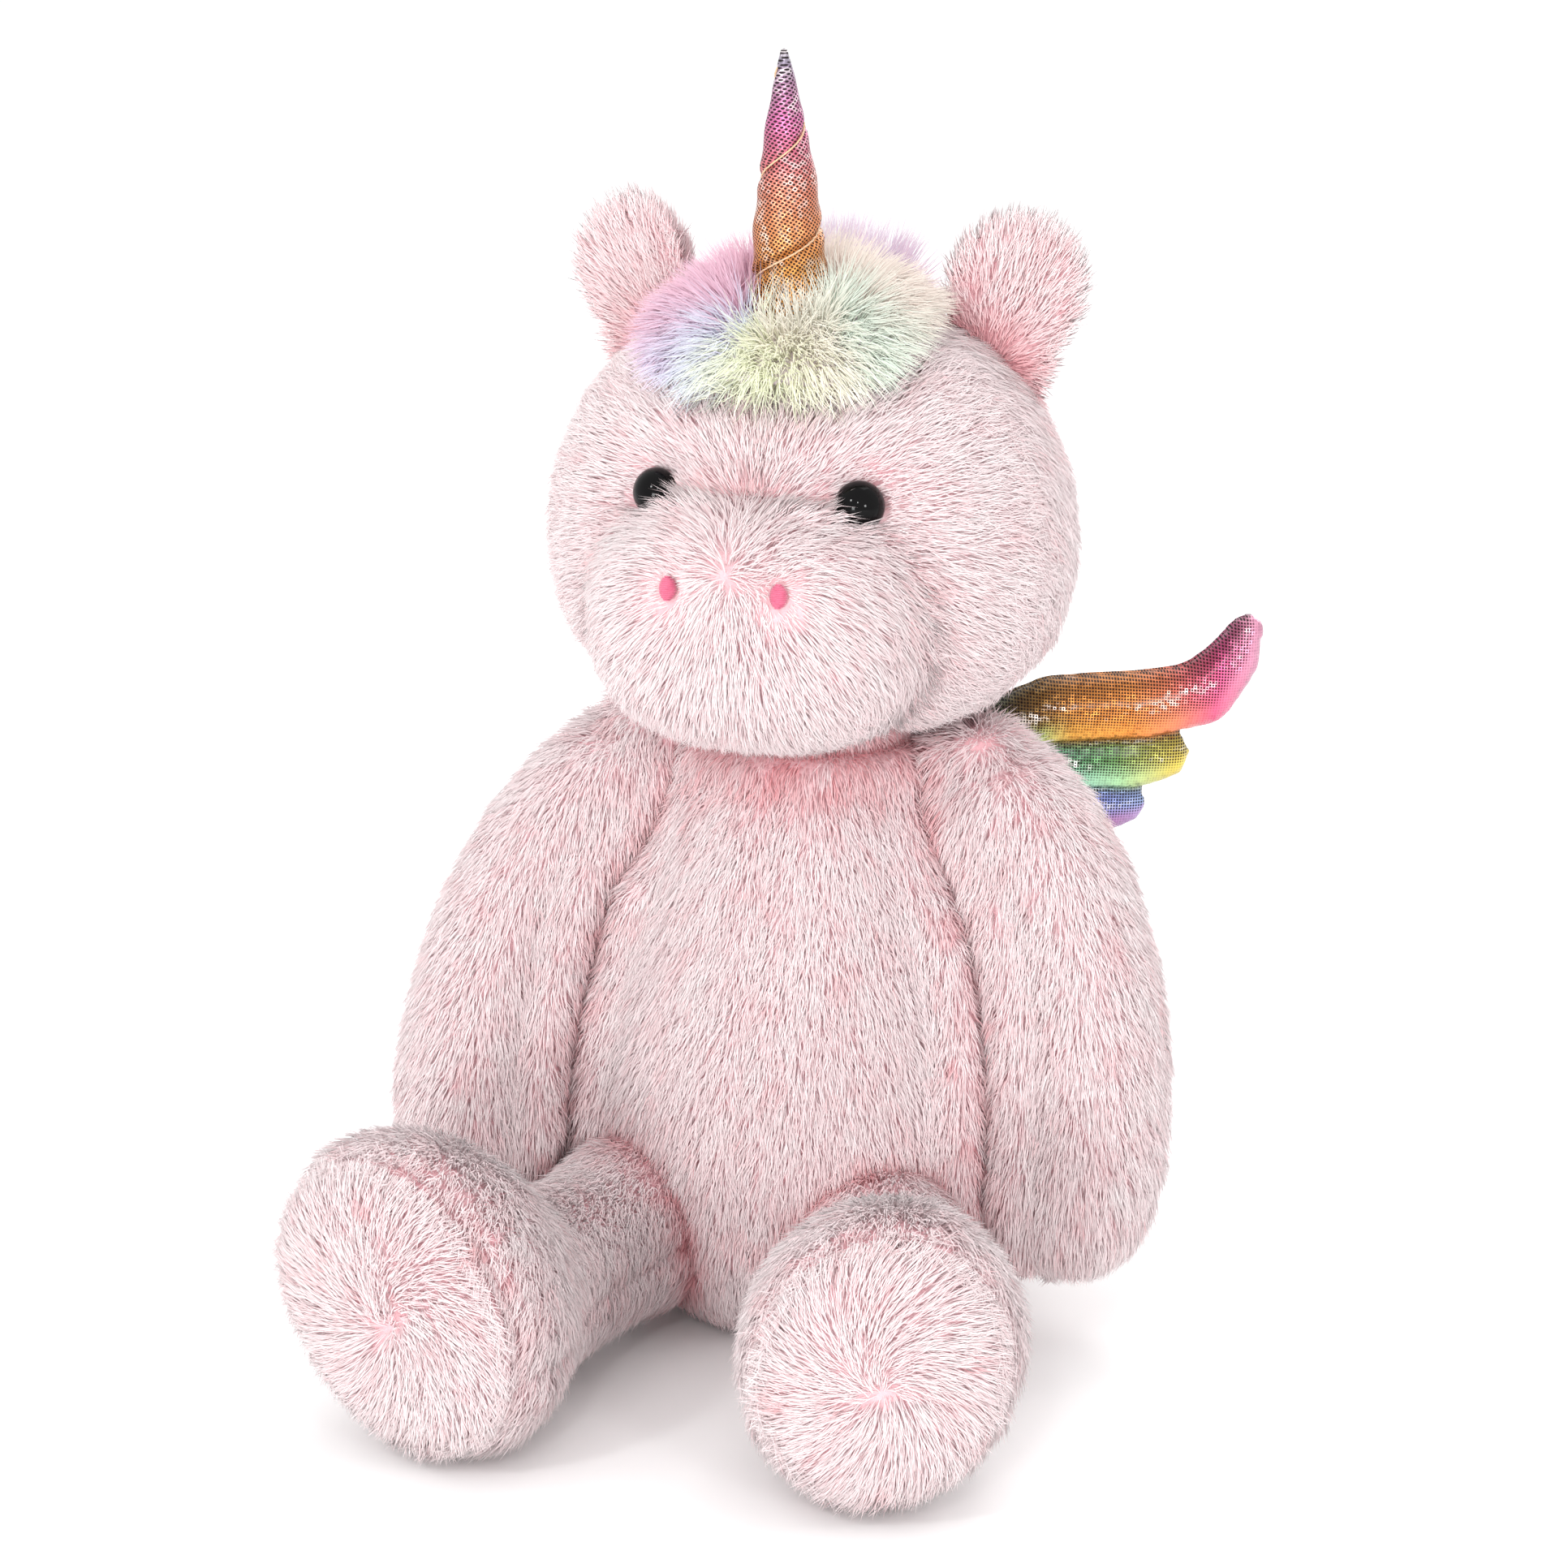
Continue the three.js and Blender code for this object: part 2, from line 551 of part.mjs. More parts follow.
function buildArm(side) {
  const arm = new THREE.Group();
  arm.position.set(side * SHOULDER.x, SHOULDER.y, SHOULDER.z);
  arm.rotation.set(-rad(ARM_SWING[side]), 0, -side * rad(ARM_TOE), "ZXY");
  toy.add(arm);
  const cover = armBody(side, 0).subtract(armBody(side, PILE, 10));
  place(arm, named("arm_front", side), sideOf(cover, V(0, -1, 0)), fabric(COLOUR.pink));
  place(arm, named("arm_back", side), sideOf(cover, V(0, 1, 0)), fabric(COLOUR.pink));
  place(arm, named("arm_filling", side), armBody(side, PILE + LOOSE, 8), fabric(COLOUR.filling));
}

// The leg lies along -Y of its group. Its foot is wide and tall, and ends in a domed sole.
function legBody(side, inset, sides = 12) {
  const roll = side * rad(TOE_ROLL[side]);
  const line = LEG_LINE.map(([reach, wide, high, under]) => {
    const foot = THREE.MathUtils.smoothstep(reach, 50, 84);
    return { reach, wide, high: high * THREE.MathUtils.lerp(1, FOOT_TALL[side], foot), under, foot };
  });
  const rings = line.map(({ reach, wide, high, under, foot }) => {
    const tall = Math.hypot(high * Math.cos(roll * foot), wide * Math.sin(roll * foot));
    const centre = V(0, -reach, under + tall - HIP.z);
    return limbRing(sides, centre, V(1, 0, 0), V(0, 0, 1), wide - inset, high - inset, -roll * foot);
  });
  const { reach, wide, high, under } = line.at(-1);
  const middle = under + Math.hypot(high * Math.cos(roll), wide * Math.sin(roll)) - HIP.z;
  const dome = [0.5, 0.85].map((part) => {
    const shrink = Math.pow(1 - Math.pow(part, 2.4), 1 / 2.4);
    const centre = V(0, -reach - part * (SOLE_DOME - inset), middle);
    return limbRing(
      sides, centre, V(1, 0, 0), V(0, 0, 1), (wide - inset) * shrink, (high - inset) * shrink, -roll,
    );
  });
  const tip = V(0, -reach - SOLE_DOME + inset, middle);
  const start = rings[0].reduce((sum, p) => sum.add(p), V(0, 0, 0)).divideScalar(sides);
  const tube = loft([...rings, ...dome], start, tip);
  return tube.add(ball(HIP.dome - inset, 0, 0, 0, sides));
}

function buildLeg(side) {
  const leg = new THREE.Group();
  leg.position.set(side * HIP.x, HIP.y, HIP.z);
  leg.rotation.z = side * rad(LEG_SPLAY[side]);
  toy.add(leg);
  const cover = legBody(side, 0).subtract(legBody(side, PILE, 10));
  const sole = sideOf(cover, V(0, -1, 0), SOLE_FROM);
  const tube = cover.trimByPlane([0, 1, 0], -SOLE_FROM + HALF_SEAM);
  place(leg, named("sole", side), sole, fabric(COLOUR.pink));
  place(leg, named("leg_top", side), sideOf(tube, V(0, 0, 1)), fabric(COLOUR.pink));
  place(leg, named("leg_under", side), sideOf(tube, V(0, 0, -1)), fabric(COLOUR.pink));
  place(leg, named("leg_filling", side), legBody(side, PILE + LOOSE, 10), fabric(COLOUR.filling));
}

// ---- wings ---------------------------------------------------------------------------------
function feather(points, side, inset, sides) {
  const line = points.map(([out, up, radius]) => [V(side * out, 0, up), radius - inset]);
  const rings = line.map(([centre, radius], i) => {
    const before = line[Math.max(i - 1, 0)][0];
    const after = line[Math.min(i + 1, line.length - 1)][0];
    const along = after.clone().sub(before).normalize();
    const across = V(0, 1, 0).cross(along).normalize();
    return Array.from({ length: sides }, (_, k) => {
      const turn = (2 * Math.PI * k) / sides;
      return centre.clone()
        .addScaledVector(across, radius * Math.cos(turn))
        .add(V(0, WING.flat * radius * Math.sin(turn), 0));
    });
  });
  const end = (first, second) => {
    const away = first[0].clone().sub(second[0]).normalize();
    return first[0].clone().addScaledVector(away, first[1] * 0.7);
  };
  return loft(rings, end(line[0], line[1]), end(line.at(-1), line.at(-2)));
}

function wingBody(side, inset, sides) {
  const lobes = FEATHERS.map((points) => feather(points, side, inset, sides));
  return lobes.reduce((all, one) => all.add(one));
}

function buildWing(side) {
  const wing = new THREE.Group();
  wing.position.set(side * WING.x, WING.y, WING.z);
  wing.rotation.z = side * rad(WING.sweep);
  toy.add(wing);
  const cover = wingBody(side, 0, 8).subtract(wingBody(side, FOIL, 6));
  place(wing, named("wing_front", side), sideOf(cover, V(0, -1, 0)), foil(COLOUR.teal));
  place(wing, named("wing_back", side), sideOf(cover, V(0, 1, 0)), foil(COLOUR.orange));
  place(wing, named("wing_filling", side), wingBody(side, FOIL + 2 * SEAM, 6), fabric(COLOUR.filling));
}

// ---- tail ----------------------------------------------------------------------------------
function buildTail() {
  const tail = new THREE.Group();
  tail.position.set(0, TAIL.y, TAIL.z);
  toy.add(tail);
  const rings = TAIL_LINE.map(([back, up, radius]) =>
    limbRing(10, V(0, TAIL.gap + back, up), V(1, 0, 0), V(0, 0, 1), radius * 1.1, radius),
  );
  const [back, up, radius] = TAIL_LINE.at(-1);
  const tuft = loft(rings, V(0, TAIL.gap - 0.4, 0), V(0, back + radius * 0.7, up - 3));
  place(tail, "tail", tuft, fabric(COLOUR.lavender));
}

buildTorso();
buildHead();
buildHorn();
buildTail();
for (const side of [LEFT, RIGHT]) {
  buildEar(side);
  buildArm(side);
  buildLeg(side);
  buildWing(side);
}

export default root;
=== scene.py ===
"""Looks of a seated plush unicorn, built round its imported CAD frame. Metres, +Z up, facing -Y."""

import json
import math

import bmesh
import bpy
import numpy as np
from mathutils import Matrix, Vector
from mathutils.bvhtree import BVHTree
from mathutils.kdtree import KDTree


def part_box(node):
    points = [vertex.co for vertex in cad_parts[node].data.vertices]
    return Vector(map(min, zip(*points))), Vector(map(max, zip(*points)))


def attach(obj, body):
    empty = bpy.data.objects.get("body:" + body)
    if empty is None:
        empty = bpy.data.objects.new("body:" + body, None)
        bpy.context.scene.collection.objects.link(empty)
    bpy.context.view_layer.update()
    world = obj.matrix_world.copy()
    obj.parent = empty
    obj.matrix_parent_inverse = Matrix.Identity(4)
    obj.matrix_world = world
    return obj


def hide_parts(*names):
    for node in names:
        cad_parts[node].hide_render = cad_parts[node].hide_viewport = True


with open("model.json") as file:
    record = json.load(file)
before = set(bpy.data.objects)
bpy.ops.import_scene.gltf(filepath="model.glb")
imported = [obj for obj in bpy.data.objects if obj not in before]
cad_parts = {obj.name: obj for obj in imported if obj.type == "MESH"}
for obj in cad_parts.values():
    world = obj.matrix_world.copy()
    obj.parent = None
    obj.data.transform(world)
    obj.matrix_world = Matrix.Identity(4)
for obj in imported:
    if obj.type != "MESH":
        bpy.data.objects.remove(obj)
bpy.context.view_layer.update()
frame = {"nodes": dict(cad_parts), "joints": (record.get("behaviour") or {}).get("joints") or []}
MM = 0.001
SIDES = ("left", "right")
SIGN = {"left": 1, "right": -1}
UP = np.array([0.0, 0.0, 1.0])
FLOOR_GAP = 0.25 * MM  # pile never reaches lower than this
JOINTS = {j["name"]: j for j in frame["joints"]}
DENSITY = 1.0


def joint_at(name):
    """Where a joint of the frame is at rest."""
    return np.array(JOINTS[name]["pos_m"], float)


def box_centre(node):
    low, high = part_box(node)
    return np.array((low + high) / 2, float)


def generator(name):
    """Random numbers that are the same each run, and differ from one piece to the next."""
    return np.random.default_rng(sum(ord(c) * (i + 7) for i, c in enumerate(name)))


def unit(v):
    return v / np.maximum(np.linalg.norm(v, axis=-1, keepdims=True), 1e-12)


def apart(points, place):
    """How far each point is from one place."""
    return np.linalg.norm(points - place, axis=1)


def beside(axis, hint):
    """Two directions that are square to an axis and to each other."""
    side = unit(np.cross(axis, hint))
    return side, np.cross(axis, side)


def smooth(value, low, high):
    """0 below low, 1 above high, and an even curve between them."""
    t = np.clip((value - low) / (high - low), 0, 1)
    return t * t * (3 - 2 * t)


# ---- meshes as arrays -----------------------------------------------------------------------
def arrays(obj):
    """Points, point normals and triangles of a mesh object that stands at the origin."""
    mesh = obj.data
    mesh.calc_loop_triangles()
    co = np.empty(len(mesh.vertices) * 3, np.float32)
    normal = np.empty(len(mesh.vertices) * 3, np.float32)
    tri = np.empty(len(mesh.loop_triangles) * 3, np.int32)
    mesh.vertices.foreach_get("co", co)
    mesh.vertex_normals.foreach_get("vector", normal)
    mesh.loop_triangles.foreach_get("vertices", tri)
    return co.reshape(-1, 3).astype(float), normal.reshape(-1, 3).astype(float), tri.reshape(-1, 3)


def mesh_object(name, co, faces):
    """A new object from an array of points and an array of faces that all have as many corners."""
    mesh = bpy.data.meshes.new(name)
    faces = np.asarray(faces, np.int32)
    mesh.vertices.add(len(co))
    mesh.vertices.foreach_set("co", np.asarray(co, np.float32).ravel())
    mesh.loops.add(faces.size)
    mesh.loops.foreach_set("vertex_index", faces.ravel())
    mesh.polygons.add(len(faces))
    mesh.polygons.foreach_set("loop_start", np.arange(0, faces.size, faces.shape[1], dtype=np.int32))
    mesh.update(calc_edges=True)
    mesh.shade_smooth()
    obj = bpy.data.objects.new(name, mesh)
    bpy.context.scene.collection.objects.link(obj)
    return obj


def set_points(obj, co):
    """Moves an object's points."""
    obj.data.vertices.foreach_set("co", np.asarray(co, np.float32).ravel())
    obj.data.update()


def apply_modifiers(obj):
    """Replaces an object's mesh by what its modifiers make of it."""
    evaluated = obj.evaluated_get(bpy.context.evaluated_depsgraph_get())
    made = bpy.data.meshes.new_from_object(evaluated)
    obj.modifiers.clear()
    obj.data = made
    obj.data.shade_smooth()


def cad_arrays(nodes):
    """Points and triangles of some CAD nodes, taken together."""
    points, faces, base = [], [], 0
    for node in nodes:
        co, _, tri = arrays(frame["nodes"][node])
        points.append(co)
        faces.append(tri + base)
        base += len(co)
    return np.concatenate(points), np.concatenate(faces)


def edge_ends(mesh):
    edges = np.empty(len(mesh.edges) * 2, np.int32)
    mesh.edges.foreach_get("vertices", edges)
    return edges.reshape(-1, 2).T


def outer_shell(obj):
    """Leaves only the largest of a mesh's separate shells."""
    mesh = obj.data
    a, b = edge_ends(mesh)
    label = np.arange(len(mesh.vertices))
    while True:
        low = np.minimum(label[a], label[b])
        new = label.copy()
        np.minimum.at(new, a, low)
        np.minimum.at(new, b, low)
        new = new[new]
        if (new == label).all():
            break
        label = new
    co = arrays(obj)[0]
    keep = max(np.unique(label), key=lambda k: np.ptp(co[label == k], axis=0).sum())
    bm = bmesh.new()
    bm.from_mesh(mesh)
    bm.verts.ensure_lookup_table()
    bmesh.ops.delete(bm, geom=[bm.verts[i] for i in np.nonzero(label != keep)[0]], context="VERTS")
    bm.to_mesh(mesh)
    bm.free()


def relaxed(obj, rounds, strength=0.5):
    """Evens out a mesh, each point drawn towards the mean of its neighbours."""
    a, b = edge_ends(obj.data)
    count = len(obj.data.vertices)
    degree = np.bincount(a, minlength=count) + np.bincount(b, minlength=count)
    co = arrays(obj)[0]
    for _ in range(rounds):
        total = np.stack(
            [np.bincount(a, co[b, k], count) + np.bincount(b, co[a, k], count) for k in range(3)], 1
        )
        co += strength * (total / np.maximum(degree, 1)[:, None] - co)
    set_points(obj, co)


def remeshed(name, co, tri, voxel):
    """One even skin round some solids that touch or nearly touch."""
    obj = mesh_object(name, co, tri)
    modifier = obj.modifiers.new("voxels", "REMESH")
    modifier.mode = "VOXEL"
    modifier.voxel_size = voxel
    apply_modifiers(obj)
    outer_shell(obj)
    return obj


def hull_arrays(co):
    """Points and triangles of the convex hull of some points."""
    bm = bmesh.new()
    for p in co:
        bm.verts.new(p)
    made = bmesh.ops.convex_hull(bm, input=bm.verts)
    loose = {g for g in made["geom_interior"] + made["geom_unused"] if isinstance(g, bmesh.types.BMVert)}
    bmesh.ops.delete(bm, geom=list(loose), context="VERTS")
    bmesh.ops.triangulate(bm, faces=bm.faces)
    bm.verts.index_update()
    points = np.array([v.co for v in bm.verts])
    faces = np.array([[v.index for v in f.verts] for f in bm.faces])
    bm.free()
    return points, faces


def subdivide(obj):
    """One round of smoothing subdivision."""
    modifier = obj.modifiers.new("finer", "SUBSURF")
    modifier.levels = modifier.render_levels = 1
    apply_modifiers(obj)


def tree_of(obj):
    """A tree of an object's triangles, to find nearest places in."""
    co, _, tri = arrays(obj)
    return BVHTree.FromPolygons(co.tolist(), tri.tolist())


def distances(tree, points, reach=0.03):
    """Signed distance to a closed surface, up to reach: negative inside it."""
    out = np.full(len(points), reach)
    for i, p in enumerate(points):
        place, normal, _, far = tree.find_nearest(p, reach)
        if place is not None:
            out[i] = far if (Vector(p) - place).dot(normal) >= 0 else -far
    return out


MOST_CROSSINGS = 20
PAST_SURFACE = 0.01 * MM


def encloses(tree, point):
    """Whether a point lies in a closed surface: a ray from it goes out an odd number of times."""
    crossings, start, ray = 0, Vector(point), Vector((0.31, 0.52, 0.795))
    while crossings < MOST_CROSSINGS:
        place = tree.ray_cast(start, ray)[0]
        if place is None:
            break
        crossings += 1
        start = place + ray * PAST_SURFACE
    return crossings % 2 == 1


# ---- materials ------------------------------------------------------------------------------
def linear(colour):
    """An sRGB hex colour as the linear numbers that a shader takes."""
    parts = [int(colour[i : i + 2], 16) / 255 for i in (1, 3, 5)]
    return [c / 12.92 if c <= 0.04045 else ((c + 0.055) / 1.055) ** 2.4 for c in parts] + [1.0]


class Nodes:
    """A material's node tree, with short calls to add to it."""

    def __init__(self, name, **sockets):
        self.material = bpy.data.materials.new(name)
        self.material.use_nodes = True
        self.tree = self.material.node_tree
        self.shader = self.tree.nodes["Principled BSDF"]
        for key, value in sockets.items():
            self.shader.inputs[key.replace("_", " ")].default_value = value

    def add(self, kind, **settings):
        """A new shader node, with some of its properties."""
        node = self.tree.nodes.new("ShaderNode" + kind)
        for key, value in settings.items():
            setattr(node, key, value)
        return node

    def link(self, source, target):
        self.tree.links.new(source, target)

    def set(self, target, value):
        """Gives a socket a constant, or links another socket to it."""
        if isinstance(value, bpy.types.NodeSocket):
            self.link(value, target)
        else:
            target.default_value = value

    def mapped(self, layer, degrees, scale=(1, 1, 1)):
        """A UV layer, turned and scaled."""
        node = self.add("Mapping")
        self.link(self.add("UVMap", uv_map=layer).outputs[0], node.inputs[0])
        node.inputs["Rotation"].default_value = (0, 0, math.radians(degrees))
        node.inputs["Scale"].default_value = scale
        return node.outputs[0]

    def maths(self, operation, *values, kind="Math"):
        node = self.add(kind, operation=operation)
        for socket, value in zip(node.inputs, values):
            self.set(socket, value)
        return node.outputs[0]

    def ramp(self, fac, stops):
        """A colour ramp over stops of (position, hex colour or grey)."""
        node = self.add("ValToRGB")
        elements = node.color_ramp.elements
        while len(elements) < len(stops):
            elements.new(0.5)
        for element, (at, colour) in zip(elements, stops):
            element.position = at
            element.color = linear(colour) if isinstance(colour, str) else (colour,) * 3 + (1,)
        self.link(fac, node.inputs[0])
        return node.outputs[0]

    def mix(self, fac, a, b, blend="MIX"):
        node = self.add("Mix", data_type="RGBA", blend_type=blend)
        for socket, value in ((node.inputs[0], fac), (node.inputs[6], a), (node.inputs[7], b)):
            if isinstance(value, str):
                value = linear(value)
            self.set(socket, value)
        return node.outputs[2]

    def noise(self, scale, detail=3, vector=None, dimensions="3D"):
        node = self.add("TexNoise", noise_dimensions=dimensions)
        node.inputs["Scale"].default_value = scale
        node.inputs["Detail"].default_value = detail
        self.link(vector or self.add("TexCoord").outputs["Object"], node.inputs["Vector"])
        return node.outputs["Fac"]

    def bump(self, height, strength, distance):
        node = self.add("Bump")
        node.inputs["Strength"].default_value = strength
        node.inputs["Distance"].default_value = distance
        self.link(height, node.inputs["Height"])
        self.link(node.outputs[0], self.shader.inputs["Normal"])


def mottled(name, scale, dark, light, bump=None, **sockets):
    """A plain material whose colour drifts between two, with an optional fine grain."""
    n = Nodes(name, **sockets)
    n.link(n.mix(n.noise(scale), dark, light), n.shader.inputs["Base Color"])
    if bump:
        grain, detail, strength, distance = bump
        n.bump(n.noise(grain, detail), strength, distance)
    return n.material


def pile_material(name, tints):
    """Pile whose colour follows its map: across it by tint, and up it from root to tip."""
    n = Nodes(
        name, Roughness=0.85, Sheen_Weight=0.25, Sheen_Roughness=0.5, Specular_IOR_Level=0.15,
        Sheen_Tint=(1, 0.93, 0.94, 1),
    )
    split = n.add("SeparateXYZ")
    n.link(n.add("UVMap", uv_map="OFBake").outputs[0], split.inputs[0])
    across, up = split.outputs[0], split.outputs[1]
    tips = n.ramp(across, [(at, tip) for at, _, tip in tints])
    roots = n.ramp(across, [(at, root) for at, root, _ in tints])
    n.link(n.mix(n.ramp(up, [(0.1, 0.0), (0.8, 1.0)]), roots, tips), n.shader.inputs["Base Color"])
    return n.material


def backing_material(name, colour, deep):
    """The knitted backing that the pile stands in."""
    n = Nodes(name, Roughness=0.95)
    blotch = n.ramp(n.noise(90), [(0.35, 0.0), (0.65, 1.0)])
    n.link(n.mix(blotch, deep, colour), n.shader.inputs["Base Color"])
    n.bump(n.noise(1500, 1), 0.4, 0.0004)
    return n.material


PINK = pile_material(
    "pink_pile",
    [(0.0, "#f6dddf", "#f6ecec"), (0.4, "#f5d1d5", "#f5e4e5"), (1.0, "#e6858c", "#f0a9ae")],
)
EAR_PINK = pile_material(
    "ear_pile",
    [(0.0, "#f6dddf", "#f6ebeb"), (0.4, "#f4d0d3", "#f5e2e3"), (1.0, "#e2959d", "#efb8bc")],
)
RAINBOW_STOPS = [
    (0.0, "#e0a3bd", "#f0c0d2"), (0.17, "#c6bad8", "#dcd4e8"), (0.33, "#cbd3e4", "#e0e6ef"),
    (0.5, "#e8ebc2", "#f2f5d6"), (0.66, "#f3e8d4", "#f8f1e3"), (0.82, "#d6e8d8", "#e4f0e2"),
    (1.0, "#f0d6c8", "#f6e6dc"),
]
RAINBOW = pile_material("rainbow_pile", RAINBOW_STOPS)
BACKING = backing_material("pink_backing", "#f0c6cb", "#e8b0b7")
PALE_BACKING = backing_material("rainbow_backing", "#e2d3dc", "#d3c3d0")


# ---- stuffed shapes -------------------------------------------------------------------------
SKINS = {}


def stuffed(name, body, nodes, stands_for, voxel, inset, hull=False, fill=0.8, rounds=4):
    """The cloth surface of a stuffed part, a little inside the CAD pile surface."""
    co, tri = cad_arrays(nodes)
    if hull:
        co, tri = hull_arrays(co)
    obj = remeshed(name, co, tri, voxel)
    relaxed(obj, rounds)
    co, normal, _ = arrays(obj)
    set_points(obj, co - normal * inset)
    SKINS[name] = {
        "obj": obj, "body": body, "for": stands_for, "voxel": voxel, "fill": fill,
    }


def both(make):
    """Makes something on the left and on the right."""
    for side in SIDES:
        make(side)


TORSO_PIECES = [
    "torso_front_left", "torso_front_right", "torso_back_left", "torso_back_right", "torso_base",
]
HEAD_PANELS = ["head_left", "head_right", "chin_panel"]

stuffed(
    "torso_stuffed", "torso", TORSO_PIECES, ["torso_filling"], 4 * MM, 2.6 * MM, hull=True
)
stuffed("head_stuffed", "head", HEAD_PANELS, ["head_filling"], 4 * MM, 2.8 * MM, hull=True)
stuffed(
    "muzzle_stuffed", "head", ["muzzle_panel", "muzzle_filling"], ["muzzle_filling"], 3 * MM,
    2.8 * MM, hull=True,
)
stuffed("neck_gather", "neck", ["neck_filling"], ["neck_filling"], 3 * MM, -0.6 * MM, hull=True)
stuffed("pellet_bag_sewn", "torso", ["pellet_bag"], ["pellet_bag"], 3 * MM, 0.5 * MM, hull=True)


def stuffed_limbs(side):
    """Arm, leg, ear and wing, and the panels whose edges are their seams."""
    panels = {
        limb: [f"{panel}_{side}" for panel in names]
        for limb, names in {
            "arm": ["arm_front", "arm_back"], "leg": ["leg_top", "leg_under", "sole"],
            "ear": ["ear_inner", "ear_outer"], "wing": ["wing_front", "wing_back"],
        }.items()
    }
    filling = {limb: [f"{limb}_filling_{side}"] for limb in ("arm", "leg", "wing")}
    skin = {limb: f"{limb}_stuffed_{side}" for limb in panels}
    body = {limb: f"{limb}_{side}" for limb in panels}
    stuffed(skin["arm"], body["arm"], panels["arm"] + filling["arm"], filling["arm"], 4 * MM, 2.2 * MM)
    stuffed(skin["leg"], body["leg"], panels["leg"] + filling["leg"], filling["leg"], 4 * MM, 2.4 * MM)
    stuffed(skin["ear"], body["ear"], panels["ear"], [], 2 * MM, 1.2 * MM, fill=0.4)
    wing = panels["wing"] + filling["wing"]
    stuffed(skin["wing"], body["wing"], wing, wing, 1.7 * MM, -0.9 * MM, rounds=2)
    for limb in panels:
        SEAM_PANELS[skin[limb]] = panels[limb]


SEAM_PANELS = {"torso_stuffed": TORSO_PIECES, "head_stuffed": HEAD_PANELS + ["muzzle_panel"]}
both(stuffed_limbs)
stuffed("tail_stuffed", "tail", ["tail"], [], 3 * MM, 3 * MM)
stuffed("forelock_pad", "head", ["forelock"], [], 1.8 * MM, 0.8 * MM, fill=0.3, rounds=2)
stuffed("mane_pad", "head", ["mane_strip"], [], 1.8 * MM, 0.8 * MM, fill=0.3, rounds=2)


def panel_map(name):
    """For each point of a skin, its nearest panel and how far it is from the next one."""
    skin = SKINS[name]
    co = arrays(skin["obj"])[0]
    trees = [tree_of(frame["nodes"][node]) for node in SEAM_PANELS[name]]
    far = np.array([[tree.find_nearest(p, 1)[3] for tree in trees] for p in co])
    order = np.argsort(far, axis=1)
    rows = np.arange(len(co))
    return order[:, 0], far[rows, order[:, 1]] - far[rows, order[:, 0]]


# Feathers of a wing from the top one down: centre line and radius (out, up, radius) in mm.
FEATHERS = [
    [[6, 8, 7.5], [29, 15, 9.5], [52, 15.5, 9.5], [68, 19.5, 8], [76.5, 29, 5], [79.5, 37, 2.2]],
    [[5, 0, 6.5], [27, 1.5, 8], [49, 2, 8], [61, 3.5, 6]],
    [[5, -7, 6], [25, -9.5, 7.5], [41, -10.5, 7], [51, -9.5, 4.5]],
    [[5, -12, 4.5], [19, -18, 5.5], [34, -20.5, 4]],
]
WING_SWEEP = math.radians(26)


def wing_plane(side, points):
    """Points as distance out along a wing, up, and forward of its middle plane."""
    sign = SIGN[side]
    out = np.array([sign * math.cos(WING_SWEEP), math.sin(WING_SWEEP), 0])
    ahead = np.array([sign * math.sin(WING_SWEEP), -math.cos(WING_SWEEP), 0])
    away = points - joint_at(f"wing_flap_{side}")
    return away @ out, away[:, 2], away @ ahead


def feather_reach(side, points):
    """How far each point is from the centre line of each feather, in its radii; below it, negative."""
    out, up, _ = wing_plane(side, points)
    flat = np.stack([out, up], 1) / MM
    reach = []
    for line in FEATHERS:
        best = np.full(len(points), 1e9)
        for (x0, y0, r0), (x1, y1, r1) in zip(line, line[1:]):
            a, d = np.array([x0, y0]), np.array([x1 - x0, y1 - y0], float)
            t = np.clip(((flat - a) @ d) / (d @ d), 0, 1)
            away = flat - a - t[:, None] * d
            far = np.linalg.norm(away, axis=1) / (r0 + (r1 - r0) * t)
            above = np.where(d[0] * away[:, 1] - d[1] * away[:, 0] < 0, -far, far)
            best = np.where(far < np.abs(best), above, best)
        reach.append(best)
    return np.array(reach)


def seam_weight(name):
    """1 on a skin's seams, 0 away from them."""
    skin = SKINS[name]
    if name.startswith("wing"):
        side = name.split("_")[-1]
        co = arrays(skin["obj"])[0]
        reach = np.sort(np.abs(feather_reach(side, co)), axis=0)
        _, _, ahead = wing_plane(side, co)
        valley = np.exp(-(((reach[1] - reach[0]) / 0.16) ** 2)) * (reach[0] < 1.25)
        rim = np.exp(-((ahead / (0.7 * MM)) ** 2))
        return np.maximum(valley, rim)
    if name not in SEAM_PANELS:
        return np.zeros(len(skin["obj"].data.vertices))
    gap = panel_map(name)[1]
    return np.exp(-((gap / skin["voxel"]) ** 2))


PUFF_FRAMES, PUFF_PRESSURE = 20, 4
PUFF_CAP = 2.2 * MM  # no point moves further, and an ear's half as far


